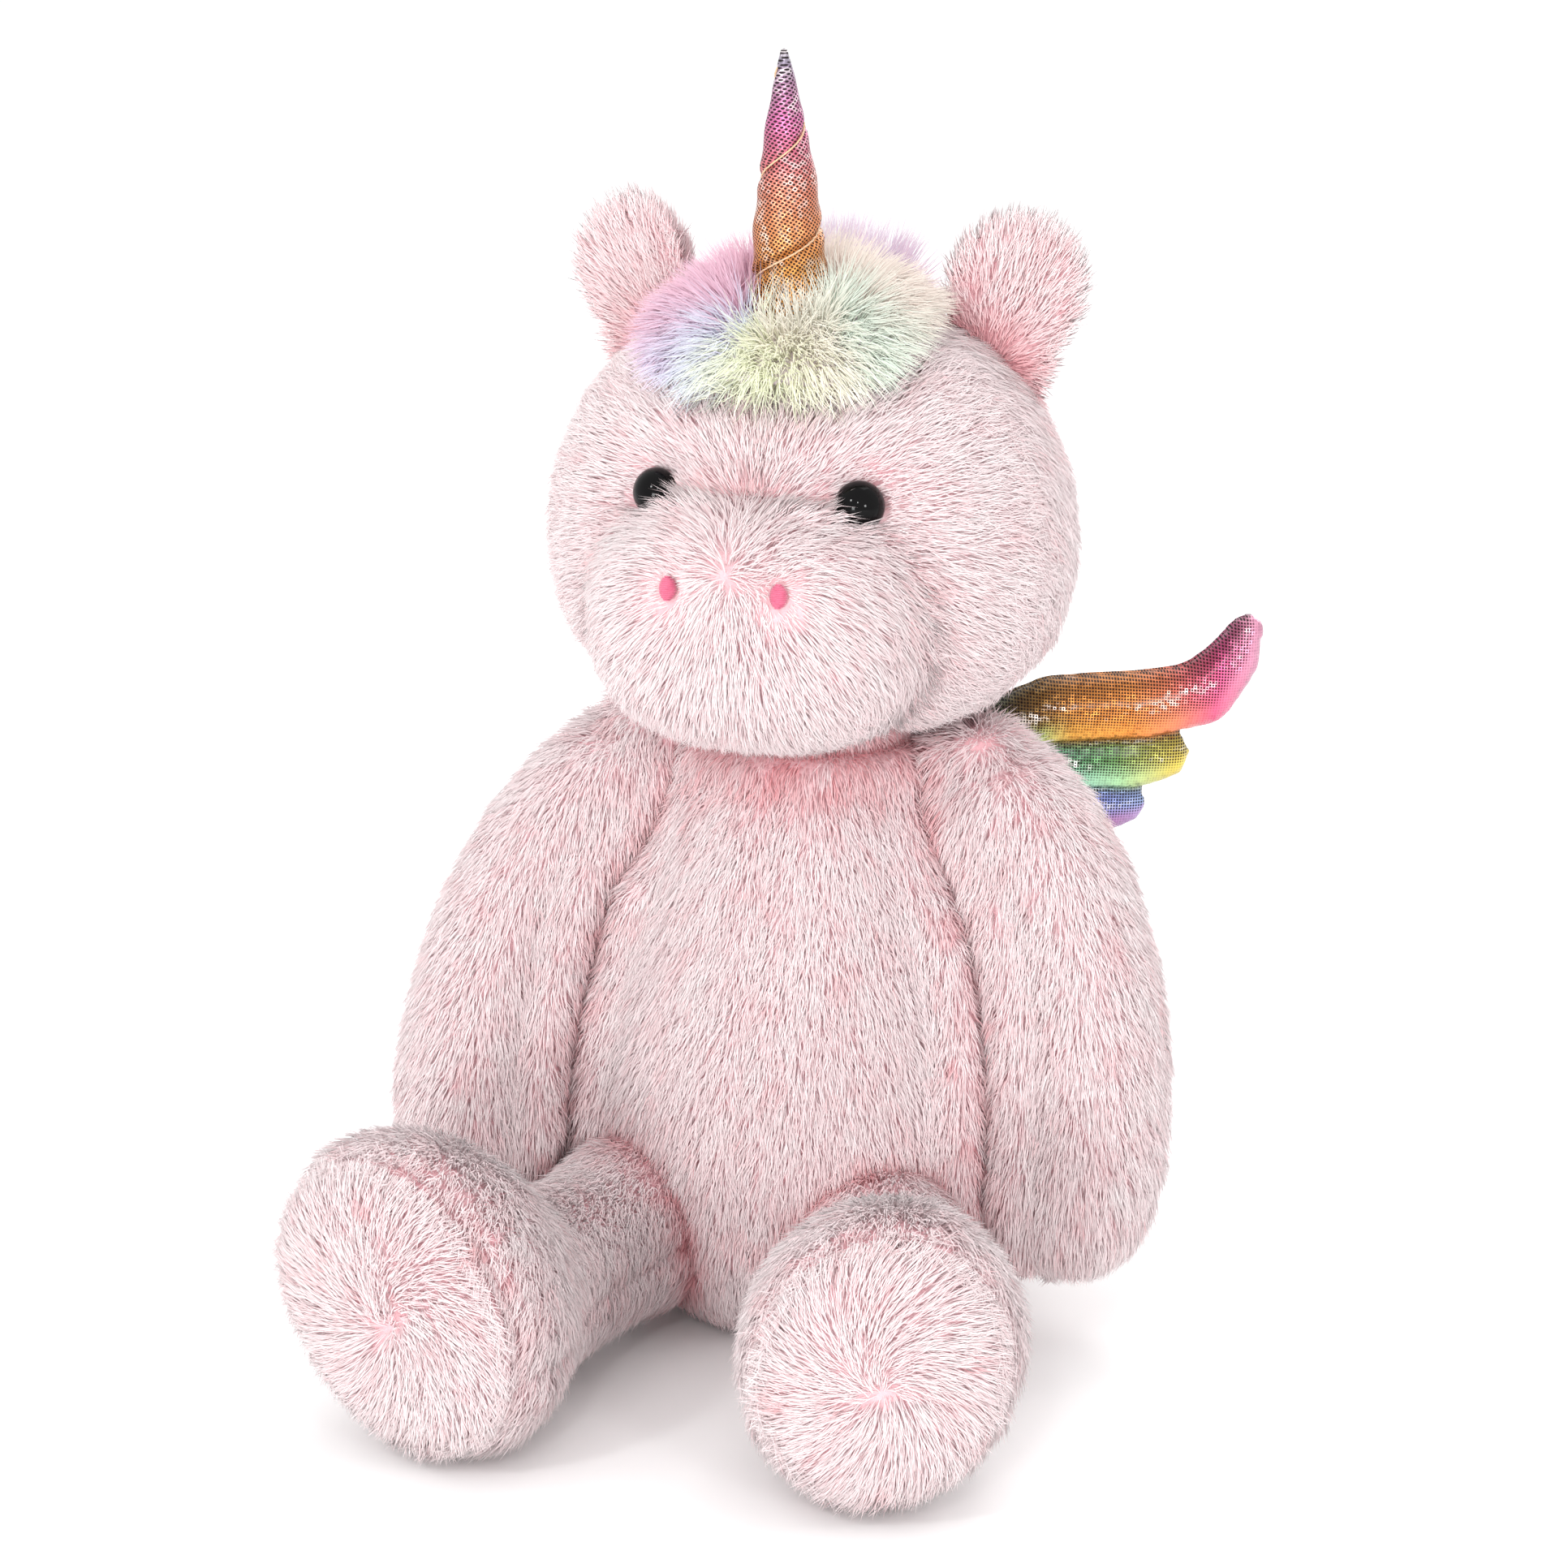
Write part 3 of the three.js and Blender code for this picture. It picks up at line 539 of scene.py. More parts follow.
def puff(names):
    """Blows each skin up like stuffing does, held at its seams, with cloth simulation."""
    scene = bpy.context.scene
    scene.frame_start, scene.frame_end = 1, PUFF_FRAMES
    rest = {}
    for name in names:
        obj = SKINS[name]["obj"]
        rest[name] = arrays(obj)[0]
        pins = obj.vertex_groups.new(name="seams")
        for i, weight in enumerate(seam_weight(name)):
            pins.add([i], float(weight > 0.6), "REPLACE")
        cloth = obj.modifiers.new("puff", "CLOTH")
        cloth.settings.vertex_group_mass = "seams"
        cloth.settings.use_pressure = True
        cloth.settings.uniform_pressure_force = PUFF_PRESSURE
        cloth.settings.effector_weights.gravity = 0
        cloth.point_cache.frame_start, cloth.point_cache.frame_end = 1, PUFF_FRAMES
    for moment in range(1, PUFF_FRAMES + 1):
        scene.frame_set(moment)
    for name in names:
        obj = SKINS[name]["obj"]
        apply_modifiers(obj)
        moved = arrays(obj)[0] - rest[name]
        far = np.linalg.norm(moved, axis=1, keepdims=True)
        cap = PUFF_CAP * (0.5 if name.startswith("ear") else 1)
        set_points(obj, rest[name] + moved * np.minimum(1, cap / np.maximum(far, 1e-9)))
        obj.vertex_groups.clear()
        relaxed(obj, 1 if name.startswith("wing") else 3, 0.4)
    scene.frame_set(1)


NOT_PUFFED = ("neck_gather", "pellet_bag_sewn", "tail_stuffed", "forelock_pad", "mane_pad")
puff([name for name in SKINS if name not in NOT_PUFFED])

GROOVE = {"torso": 1.6, "head": 1.2, "arm": 1.2, "leg": 1.8, "ear": 0.6, "wing": 1.1}
for name, skin in SKINS.items():
    subdivide(skin["obj"])
    depth = GROOVE.get(name.split("_")[0], 0) * MM
    if depth:
        skin["voxel"] *= 0.5
        co, normal, _ = arrays(skin["obj"])
        set_points(skin["obj"], co - normal * (depth * seam_weight(name))[:, None])

EYE_RADIUS, EYE_LIFT, EYE_TURN = 6 * MM, 2.7 * MM, math.radians(24)


def eye_centre(side):
    """The middle of the eye's dome, and the direction that it looks in."""
    ahead = unit(np.array([SIGN[side] * math.sin(EYE_TURN), -math.cos(EYE_TURN), 0.12]))
    return box_centre(f"eye_washer_{side}") + ahead * (EYE_RADIUS + EYE_LIFT), ahead


EYE = {side: eye_centre(side) for side in SIDES}
NOSTRIL = {side: box_centre(f"nostril_{side}") for side in SIDES}


def dent(name, centre, direction, depth, width):
    """Presses a soft hollow into a skin."""
    obj = SKINS[name]["obj"]
    co = arrays(obj)[0]
    set_points(obj, co - np.outer(depth * np.exp(-((apart(co, centre) / width) ** 2)), direction))


def squared(name, half, power):
    """Fills out the corners of an egg-shaped skin."""
    obj = SKINS[name]["obj"]
    co = arrays(obj)[0]
    middle = (co.min(0) + co.max(0)) / 2
    away = (co - middle) / half
    swell = np.linalg.norm(away, axis=1) / (np.abs(away) ** power).sum(1) ** (1 / power)
    set_points(obj, middle + (co - middle) * swell[:, None])


MUZZLE_HALF = np.array([41, 26, 30.5]) * MM
squared("muzzle_stuffed", MUZZLE_HALF, 2.5)
for side in SIDES:
    dent("head_stuffed", *EYE[side], 5.0 * MM, 10 * MM)
    dent("muzzle_stuffed", NOSTRIL[side], np.array([0, -1.0, 0]), 1.2 * MM, 5.5 * MM)
    dent("muzzle_stuffed", *EYE[side], 1.5 * MM, 8 * MM)


def lean_on(name, other, reach, share):
    """Lets a soft skin bulge towards another one that it nearly touches."""
    obj = SKINS[name]["obj"]
    tree = tree_of(SKINS[other]["obj"])
    co, normal, _ = arrays(obj)
    push = np.zeros(len(co))
    for i, p in enumerate(co):
        place, _, _, far = tree.find_nearest(p, reach)
        if place is not None and far > 1e-6:
            facing = (np.array(place) - p) @ normal[i] / far
            push[i] = share * far * smooth(facing, 0.2, 0.8) * (1 - smooth(far, 0.7 * reach, reach))
    set_points(obj, co + normal * push[:, None])


for side in SIDES:
    lean_on("torso_stuffed", f"arm_stuffed_{side}", 24 * MM, 0.5)
    lean_on(f"arm_stuffed_{side}", "torso_stuffed", 18 * MM, 0.7)
    lean_on(f"arm_stuffed_{side}", "head_stuffed", 18 * MM, 0.45)
lean_on("torso_stuffed", "head_stuffed", 20 * MM, 0.5)
lean_on("head_stuffed", "muzzle_stuffed", 12 * MM, 0.6)
lean_on("muzzle_stuffed", "head_stuffed", 10 * MM, 0.5)
relaxed(SKINS["torso_stuffed"]["obj"], 4)

for side in SIDES:
    wing = SKINS[f"wing_stuffed_{side}"]["obj"]
    co, normal, _ = arrays(wing)
    tip = smooth(wing_plane(side, co)[0], 60 * MM, 80 * MM)
    set_points(wing, co + normal * (1.8 * MM * tip)[:, None])

# The foot of each ear is let into the head, deeper where the head curves away from it.
EAR_TILT = math.radians(20)
for side in SIDES:
    ear = SKINS[f"ear_stuffed_{side}"]["obj"]
    co = arrays(ear)[0]
    rise = np.array([SIGN[side] * math.sin(EAR_TILT), 0, math.cos(EAR_TILT)])
    height = (co - joint_at(f"ear_flop_{side}")) @ rise
    sunk = 1 - smooth(height, height.min() + 1 * MM, height.min() + 13 * MM)
    gap = np.maximum(distances(tree_of(SKINS["head_stuffed"]["obj"]), co, 20 * MM), 0)
    set_points(ear, co - np.outer((5 * MM + 1.3 * gap) * sunk, rise))

NECK_SWELL = 1.5  # the pile neck is this much wider than the CAD one, so no gap shows as it bends
neck = SKINS["neck_gather"]["obj"]
co = arrays(neck)[0]
pivot = joint_at("neck_nod")
co[:, :2] = pivot[:2] + (co[:, :2] - pivot[:2]) * NECK_SWELL
set_points(neck, co)


def nearest_of(places, points):
    """For each point, which of some places is nearest, and how far off it is."""
    tree = KDTree(len(places))
    for k, place in enumerate(places):
        tree.insert(place, k)
    tree.balance()
    found = [tree.find(p) for p in points]
    return np.array([f[1] for f in found]), np.array([f[2] for f in found])


PELLETS, PELLET_RADIUS, PELLET_LIFT = 700, 2.4 * MM, 0.7 * MM
bag = SKINS["pellet_bag_sewn"]["obj"]
co, normal, _ = arrays(bag)
_, far = nearest_of(co[generator("pellets").choice(len(co), PELLETS)], co)
bulge = PELLET_LIFT * np.sqrt(np.maximum(0, 1 - (far / PELLET_RADIUS) ** 2))
set_points(bag, co + normal * bulge[:, None])

for name, skin in SKINS.items():
    skin["co"], skin["normal"], skin["tri"] = arrays(skin["obj"])
    skin["tree"] = BVHTree.FromPolygons(skin["co"].tolist(), skin["tri"].tolist())
    skin["low"], skin["high"] = skin["co"].min(0), skin["co"].max(0)


# ---- pile -----------------------------------------------------------------------------------
CREASE_REACH, CREASE_WIDTH, SEAM_WIDTH = 16 * MM, 5 * MM, 2.5 * MM
JITTER = 0.22  # how far each strand strays from the comb
LEAN_SPREAD, BEND_SPREAD = 7, 8  # degrees
TAPER = 0.85  # of a strand's width, at its middle
ROUNDNESS, ALONG = 0.3, 0.2  # of a strand's own shape in its shading
ROOT_DEPTH = 0.4 * MM
LENGTHS, WIDTHS = (0.75, 1.15), (0.8, 1.25)  # of the nominal length and width
PLAIN_TINT, TINT_SPREAD, SEAM_TINT = 0.28, 0.09, 0.1
MOST_STRANDS = 21500  # in one piece of pile; a denser panel is made of several layers
HIDDEN_DEPTH = 1.2 * MM
LEG_DEPTH = 15 * MM  # the top of the thigh comes out of the torso as the leg swings down


def surroundings(name):
    """For each point of a skin, how near the closest other skin is, and if it lies inside one."""
    skin = SKINS[name]
    near = np.full(len(skin["co"]), CREASE_REACH)
    hidden = np.zeros(len(skin["co"]), bool)
    for other, against in SKINS.items():
        if other == name or other.startswith(("wing", "pellet", "tail", "forelock", "mane")):
            continue
        low, high = against["low"] - CREASE_REACH, against["high"] + CREASE_REACH
        inside = ((skin["co"] > low) & (skin["co"] < high)).all(1)
        index = np.nonzero(inside)[0]
        far = distances(against["tree"], skin["co"][index], CREASE_REACH)
        near[index] = np.minimum(near[index], np.abs(far))
        for i in index[far < -(LEG_DEPTH if name.startswith("leg") else HIDDEN_DEPTH)]:
            hidden[i] = hidden[i] or encloses(against["tree"], skin["co"][i])
    return near, hidden


def strands(root, normal, comb, length, width, lean, clump, sleek, rng):
    """Points of three-sided tapering curved strands: two rings of three, and the tip three times.

    They lean the way of the comb, and stand up more where it is shorter than 1. The tips of a
    clump are drawn together. Each strand's clump is returned with the points and the normals.
    """
    n = len(root)
    jitter = rng.normal(0, JITTER, (n, 3))
    firm = np.clip(np.linalg.norm(comb, axis=1), 0.2, 1)
    comb = comb + jitter
    along = unit(comb - normal * (comb * normal).sum(1)[:, None])
    angle = np.radians(firm * rng.normal(lean[0], LEAN_SPREAD, n))[:, None]
    bend = np.radians(firm * rng.normal(lean[1], BEND_SPREAD, n))[:, None]
    half = (length / 2)[:, None]
    middle = root + half * (np.cos(angle) * normal + np.sin(angle) * along)
    tip = middle + half * (np.cos(bend) * normal + np.sin(bend) * along)
    heads = rng.choice(n, max(int(n / clump["strands"]), 1), replace=False)
    nearest = heads[nearest_of(root[heads], root)[0]]
    pull = clump["pull"] * rng.uniform(0.6, 1.0, (n, 1))
    tip += pull * (tip[nearest] - tip)
    middle += 0.35 * pull * (middle[nearest] - middle)
    direction = unit(tip - root)
    side, other = beside(direction, normal + 1e-3 * jitter)
    turn = rng.uniform(0, 2 * np.pi, n)
    turns = [(turn + k * 2 * np.pi / 3)[:, None] for k in range(3)]
    corners = np.stack([np.cos(a) * side + np.sin(a) * other for a in turns], 1)
    thick = (width / 2)[:, None, None]
    low = root[:, None] + corners * thick
    high = middle[:, None] + corners * thick * TAPER
    points = np.concatenate([low, high, np.repeat(tip[:, None], 3, 1)], 1)
    points[:, :, 2] = np.maximum(points[:, :, 2], FLOOR_GAP)
    between = corners + np.roll(corners, -1, 1)
    shade = ROUNDNESS * np.concatenate([corners, corners, between], 1)
    shade = unit(shade + sleek * normal[:, None] + ALONG * direction[:, None])
    return points, shade, nearest


STRAND_FACES = np.array(
    [[0, 1, 4], [0, 4, 3], [1, 2, 5], [1, 5, 4], [2, 0, 3], [2, 3, 5], [3, 4, 6], [4, 5, 7], [5, 3, 8]]
)
STRAND_UP = np.array([0, 0, 0, 0.55, 0.55, 0.55, 1, 1, 1])
STRAND_ACROSS = np.array([-1, 1, 1, -1, 1, 1, 0, 0, 0]) * 0.006


def pile_object(name, points, shade, tint, material):
    """One piece of pile from its strands. Its map holds each strand's tint and height."""
    n = len(points)
    faces = (np.arange(n)[:, None, None] * 9 + STRAND_FACES).reshape(-1, 3)
    obj = mesh_object(name, points.reshape(-1, 3), faces)
    normals = obj.data.attributes.new("custom_normal", "FLOAT_VECTOR", "POINT")
    normals.data.foreach_set("vector", shade.astype(np.float32).ravel())
    across = np.clip(tint[:, None], 0.01, 0.99) + STRAND_ACROSS
    uv = np.stack([across, np.broadcast_to(0.02 + 0.96 * STRAND_UP, across.shape)], 2).reshape(-1, 2)
    layer = obj.data.uv_layers.new(name="OFBake")
    layer.data.foreach_set("uv", uv[faces.ravel()].astype(np.float32).ravel())
    obj.data.materials.append(material)
    return obj


def sample(skin, count, rng):
    """Random roots on a skin: the triangle and the corner weights of each."""
    a, b, c = (skin["co"][skin["tri"][:, k]] for k in range(3))
    area = np.linalg.norm(np.cross(b - a, c - a), axis=1) / 2
    pick = rng.choice(len(area), count, p=area / area.sum())
    u, v = rng.random((2, count, 1))
    u, v = np.where(u + v > 1, 1 - u, u), np.where(u + v > 1, 1 - v, v)
    return skin["tri"][pick], np.concatenate([1 - u - v, u, v], 1)


def area_mm2(skin):
    """A skin's area in square millimetres."""
    a, b, c = (skin["co"][skin["tri"][:, k]] for k in range(3))
    return np.linalg.norm(np.cross(b - a, c - a), axis=1).sum() / 2 / MM**2


def coat(name, comb, pieces, per_mm2, length, width, clump, lean=(38, 74), tint=None, shorten=None,
         keep=None, material=PINK, seams=True, slot="pink_pile", thin=0.42, crease_shade=0.8, sleek=0.9):
    """Covers a skin with pile, a piece for each CAD panel that it stands for.

    Near another skin the pile is shorter by thin and, as painted crease shade, deeper pink by the
    next argument. Sleek pile is lit as one smooth surface, and other pile as single strands.
    """
    skin = SKINS[name]
    rng = generator(name)
    near, hidden = surroundings(name)
    panel, gap = panel_map(name) if name in SEAM_PANELS else (np.zeros(len(near), int), near * 0 + 1)
    crease = np.exp(-near / CREASE_WIDTH)
    seam = np.exp(-gap / SEAM_WIDTH) if seams else gap * 0
    count = int(area_mm2(skin) * per_mm2 * DENSITY)
    corner, weight = sample(skin, count, rng)
    at = lambda values: (
        (values[corner] * weight).sum(1) if values.ndim == 1
        else (values[corner] * weight[:, :, None]).sum(1)
    )
    root, normal = at(skin["co"]), unit(at(skin["normal"]))
    kept = at(hidden.astype(float)) < 0.5
    if keep is not None:
        kept &= keep(root)
    owner = panel[corner[:, 0]]
    root, normal, owner = root[kept], normal[kept], owner[kept]
    corner, weight = corner[kept], weight[kept]
    crease, seam = at(crease), at(seam)
    size = length * MM * rng.uniform(*LENGTHS, len(root)) * (1 - thin * crease) * (1 - 0.2 * seam)
    if shorten is not None:
        size *= shorten(root)
    thick = width * MM * rng.uniform(*WIDTHS, len(root))
    points, shade, nearest = strands(
        root - normal * ROOT_DEPTH, normal, comb(root, normal), size, thick, lean, clump, sleek, rng
    )
    shared = rng.normal(0, TINT_SPREAD, len(root))[nearest]
    own = rng.normal(0, TINT_SPREAD, len(root))
    # Painted shade: near another skin, in the creases between parts, the tint runs towards the deeper
    # pinks.
    value = PLAIN_TINT + shared + own + crease_shade * crease + SEAM_TINT * seam
    if tint is not None:
        value = tint(root, value, rng)
    for k, (piece, node) in enumerate(pieces):
        mine = np.nonzero(owner == k)[0]
        layers = -(-len(mine) // MOST_STRANDS)
        for layer in range(layers):
            part = mine[layer::layers]
            label = f"{piece}_{layer + 1}" if layers > 1 else piece
            obj = pile_object(label, points[part], shade[part], value[part], material)
            if node:
                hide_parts(node)
            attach(obj, skin["body"])


def downward(root, normal):
    """Straight down, for each strand."""
    return np.broadcast_to(-UP, root.shape) + 0.0


def parted(away, reach):
    """Unit vectors away from a parting; within reach of it they turn upwards."""
    far = np.linalg.norm(away, axis=1, keepdims=True)
    share = smooth(far, 0, reach)
    return unit(away / np.maximum(far, 1e-9) * share + 0.6 * (1 - share) * UP)


FACE = np.array([0, joint_at("neck_nod")[1] - 50 * MM, 203 * MM])


def head_comb(root, normal):
    """Outward from between the eyes on the face, and down at the back."""
    away = (root - FACE) * np.array([1, 0, 1])
    front = smooth(-normal[:, 1], -0.3, 0.4)[:, None]
    return unit(front * parted(away, 9 * MM) + (1 - front) * (-UP))


def muzzle_comb(root, normal):
    """Outward from above the nostrils, and away from each of them."""
    away = (root - FACE + 7 * MM * UP) * np.array([1, 0, 1])
    push = unit(away) + 0.3 * (-UP)
    for side in SIDES:
        from_nostril = root - NOSTRIL[side]
        near = np.exp(-((apart(root, NOSTRIL[side]) / (7 * MM)) ** 2))[:, None]
        push += 1.6 * near * unit(from_nostril)
    return push


def face_length(root, by_eye=0.65):
    """Length of the pile, other round the eyes and shorter round the nostrils."""
    size = np.ones(len(root))
    for side in SIDES:
        size *= by_eye + (1 - by_eye) * smooth(apart(root, EYE[side][0]), 7 * MM, 17 * MM)
        size *= 0.3 + 0.7 * smooth(apart(root, NOSTRIL[side]), 4 * MM, 11 * MM)
    return size


def off_face_parts(root):
    """Which strands stand clear of the eyes and the nostrils."""
    clear = np.ones(len(root), bool)
    for side in SIDES:
        clear &= (apart(root, EYE[side][0]) > EYE_RADIUS) & (apart(root, NOSTRIL[side]) > 4.3 * MM)
    return clear


PLUSH = {"per_mm2": 2.5, "length": 8.0, "width": 0.29, "clump": {"strands": 30, "pull": 0.2}}


coat(
    "torso_stuffed", downward,
    [(node.replace("torso_", "torso_pile_"), node) for node in TORSO_PIECES], **PLUSH,
)
coat(
    "head_stuffed", head_comb,
    [("head_pile_left", "head_left"), ("head_pile_right", "head_right"), ("chin_pile", "chin_panel")],
    keep=off_face_parts, shorten=face_length, thin=0, crease_shade=0.3, **PLUSH,
)
coat(
    "muzzle_stuffed", muzzle_comb, [("muzzle_pile", "muzzle_panel")], keep=off_face_parts,
    shorten=lambda root: face_length(root, 1.08), thin=-0.6, crease_shade=0.2, **{**PLUSH, "length": 7.6},
)


def coat_limbs(side):
    """The pile of an arm, a leg and an ear."""
    shoulder, hip = joint_at(f"shoulder_{side}"), joint_at(f"hip_{side}")
    sole = box_centre(f"sole_{side}")
    ahead = unit(sole - hip)

    def arm_comb(root, normal):
        return -UP + 0.35 * unit(root - shoulder)

    def leg_comb(root, normal):
        on_sole = smooth((normal @ ahead), 0.55, 0.85)[:, None]
        away = root - sole - np.outer((root - sole) @ ahead, ahead)
        swirl = np.cross(away, ahead) * 0.5
        return (1 - on_sole) * (ahead * 0.8 - 0.8 * UP) + on_sole * parted(away + swirl, 8 * MM)

    coat(
        f"arm_stuffed_{side}", arm_comb,
        [(f"arm_pile_front_{side}", f"arm_front_{side}"), (f"arm_pile_back_{side}", f"arm_back_{side}")],
        **PLUSH,
    )
    coat(
        f"leg_stuffed_{side}", leg_comb,
        [
            (f"leg_pile_top_{side}", f"leg_top_{side}"), (f"leg_pile_under_{side}", f"leg_under_{side}"),
            (f"sole_pile_{side}", f"sole_{side}"),
        ],
        **PLUSH,
    )
    base = joint_at(f"ear_flop_{side}")

    def ear_cup_shade(root, value, rng):
        """Painted shade: redder in the cup at the foot of the ear's front, where the fold shades it."""
        away = np.linalg.norm((root - base) * np.array([1, 0, 0.6]), axis=1)
        return value + 0.42 * np.exp(-((away / (11 * MM)) ** 2)) * (root[:, 1] < base[1])

    coat(
        f"ear_stuffed_{side}", lambda root, normal: unit(root - base),
        [(f"ear_pile_inner_{side}", f"ear_inner_{side}"), (f"ear_pile_outer_{side}", f"ear_outer_{side}")],
        **{**PLUSH, "length": 9.0}, material=EAR_PINK, slot="ear_pile", sleek=0.4, tint=ear_cup_shade,
    )


both(coat_limbs)
coat("neck_gather", downward, [("neck_pile", None)], **{**PLUSH, "length": 6.0})

HORN_FOOT = joint_at("horn_tilt")


def from_horn(root):
    """How far each strand is from the horn's foot, seen from above."""
    return apart(root[:, :2], HORN_FOOT[:2])


def forelock_comb(root, normal):
    """Out from the horn, and standing up beside it."""
    firm = 0.3 + 0.7 * smooth(from_horn(root), 11 * MM, 26 * MM)
    return unit(root - HORN_FOOT + 6 * MM * UP) * firm[:, None]


def mane_comb(root, normal):
    """Down the back of the head from a tuft that stands up on the crown."""
    return -UP * (1 - 0.85 * smooth(root[:, 2], 238 * MM, 250 * MM))[:, None]


def mane_length(root):
    """Longer in the tuft on the crown."""
    return 1 + 0.5 * smooth(root[:, 2], 236 * MM, 250 * MM)


def forelock_tint(root, value, rng):
    """The tie-dye of the forelock, by the angle round the horn and the distance from it."""
    away = root - HORN_FOOT
    angle = np.degrees(np.arctan2(away[:, 0], -away[:, 1])) + rng.normal(0, 5, len(root))
    out = from_horn(root) / MM + rng.normal(0, 1.5, len(root))
    rim = np.interp(
        angle, [-150, -95, -70, -52, -38, -18, 12, 35, 62, 95, 150],
        [0.02, 0.0, 0.05, 0.17, 0.33, 0.47, 0.5, 0.6, 0.82, 0.97, 0.99],
    )
    core = np.interp(angle, [-90, -40, 0, 60, 110], [0.0, 0.02, 0.66, 0.72, 0.98])
    return core + (rim - core) * smooth(out, 13, 22) + rng.normal(0, 0.012, len(root))


def mane_tint(root, value, rng):
    """The tie-dye of the mane, by height."""
    dye = np.interp(root[:, 2] / MM, [180, 200, 222, 240, 258], [0.33, 0.82, 0.6, 0.03, 0.15])
    return dye + rng.normal(0, 0.015, len(root))


def tail_tint(root, value, rng):
    """The tie-dye of the tail, from its foot to its end."""
    along = (root[:, 1] - joint_at("tail_lift")[1]) / MM
    dye = np.interp(along, [0, 14, 28, 42, 55], [0.98, 0.82, 0.5, 0.2, 0.02])
    return dye + rng.normal(0, 0.02, len(root))


LONG = {
    "per_mm2": 3.4, "length": 14.0, "width": 0.3, "clump": {"strands": 26, "pull": 0.28},
    "lean": (30, 66), "material": RAINBOW, "seams": False, "slot": "rainbow_pile", "sleek": 0.5,
}
coat(
    "forelock_pad", forelock_comb, [("forelock_pile", "forelock")], tint=forelock_tint,
    shorten=lambda root: 1.25 - 0.25 * smooth(from_horn(root), 11 * MM, 22 * MM), **LONG,
)
coat("mane_pad", mane_comb, [("mane_pile", "mane_strip")], tint=mane_tint, shorten=mane_length, **LONG)
coat(
    "tail_stuffed", lambda root, normal: unit(root - joint_at("tail_lift")) - 0.4 * UP,
    [("tail_pile", "tail")], tint=tail_tint, **{**LONG, "length": 17.0},
)


# ---- eyes, nostrils, horn, wings, label -----------------------------------------------------
def sleeve_faces(rings, around):
    """Faces of a row of rings of points, closed by two more points, one at each end."""
    faces = []
    for j in range(rings - 1):
        for i in range(around):
            a, b = j * around + i, j * around + (i + 1) % around
            faces += [[a, b, b + around], [a, b + around, a + around]]
    first_end, last_ring = rings * around, (rings - 1) * around
    for i in range(around):
        k = (i + 1) % around
        faces += [[first_end, k, i], [first_end + 1, last_ring + i, last_ring + k]]
    return np.array(faces)


def lathe(name, profile, centre, axis, around=48):
    """A closed turned solid: its profile is (radius, height) from one point on the axis to another."""
    side, other = beside(axis, [0.3, 0.2, 1.0])
    turn = np.linspace(0, 2 * np.pi, around, endpoint=False)
    circle = np.cos(turn)[:, None] * side + np.sin(turn)[:, None] * other
    inner = profile[1:-1]
    rings = [centre + h * axis + r * circle for r, h in inner]
    points = np.concatenate(rings + [[centre + profile[0][1] * axis], [centre + profile[-1][1] * axis]])
    return mesh_object(name, points, sleeve_faces(len(inner), around))


def tube(path, radius, sides=8):
    """Points and faces of a closed tube along a path, its ends rounded to a point."""
    path = np.asarray(path, float)
    along = unit(np.gradient(path, axis=0))
    side, other = beside(along, [0.31, 0.22, 0.93])
    swell = np.full(len(path), radius)
    swell[[0, -1]] = radius * 0.5
    turn = np.linspace(0, 2 * np.pi, sides, endpoint=False)
    rings = path[:, None] + swell[:, None, None] * (
        np.cos(turn)[None, :, None] * side[:, None] + np.sin(turn)[None, :, None] * other[:, None]
    )
    ends = [path[0] - along[0] * radius * 0.6, path[-1] + along[-1] * radius * 0.6]
    return np.concatenate([rings.reshape(-1, 3), ends]), sleeve_faces(len(path), sides)


def tubes(name, paths, radius, sides=8):
    """One object of several closed tubes."""
    points, faces, base = [], [], 0
    for path in paths:
        p, f = tube(path, radius, sides)
        points.append(p)
        faces.append(f + base)
        base += len(p)
    return mesh_object(name, np.concatenate(points), np.concatenate(faces))


GLOSS = mottled("eye_gloss", 220, "#050405", "#0b0a0b", Roughness=0.03, Specular_IOR_Level=0.14)
MOULDED = mottled(
    "washer_plastic", 300, "#e9e9ea", "#f4f4f5", (900, 3, 0.15, 0.2 * MM), Roughness=0.45
)


def build_eye(side):
    """A moulded dome on a ribbed stem, and the washer that holds it."""
    centre, ahead = EYE[side]
    r = EYE_RADIUS
    dome = [(r * math.sin(a), r * 0.94 * math.cos(a)) for a in np.linspace(0, math.pi / 2, 18)]
    ribs = [(1.5 * MM + 0.2 * MM * (k % 2), -3 * MM - k * 0.7 * MM) for k in range(11)]
    back = [(5.9 * MM, -0.6 * MM), (5.5 * MM, -1.2 * MM), (4.6 * MM, -1.5 * MM), (1.7 * MM, -1.6 * MM)]
    profile = dome + back + ribs + [(0, -11 * MM)]
    eye = lathe(f"safety_eye_{side}", profile[::-1], centre, ahead)
    eye.data.materials.append(GLOSS)
    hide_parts(f"eye_{side}")
    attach(eye, "head")
    washer = frame["nodes"][f"eye_washer_{side}"].data.materials
    washer.clear()
    washer.append(MOULDED)


THREAD = mottled(
    "nostril_thread", 700, "#bb3f65", "#e0708f", (4000, 1, 0.3, 0.2 * MM), Roughness=0.38,
    Sheen_Weight=0.4,
)
NOSTRIL_WIDE, NOSTRIL_HIGH, STITCH = 2.2 * MM, 2.8 * MM, 0.44 * MM


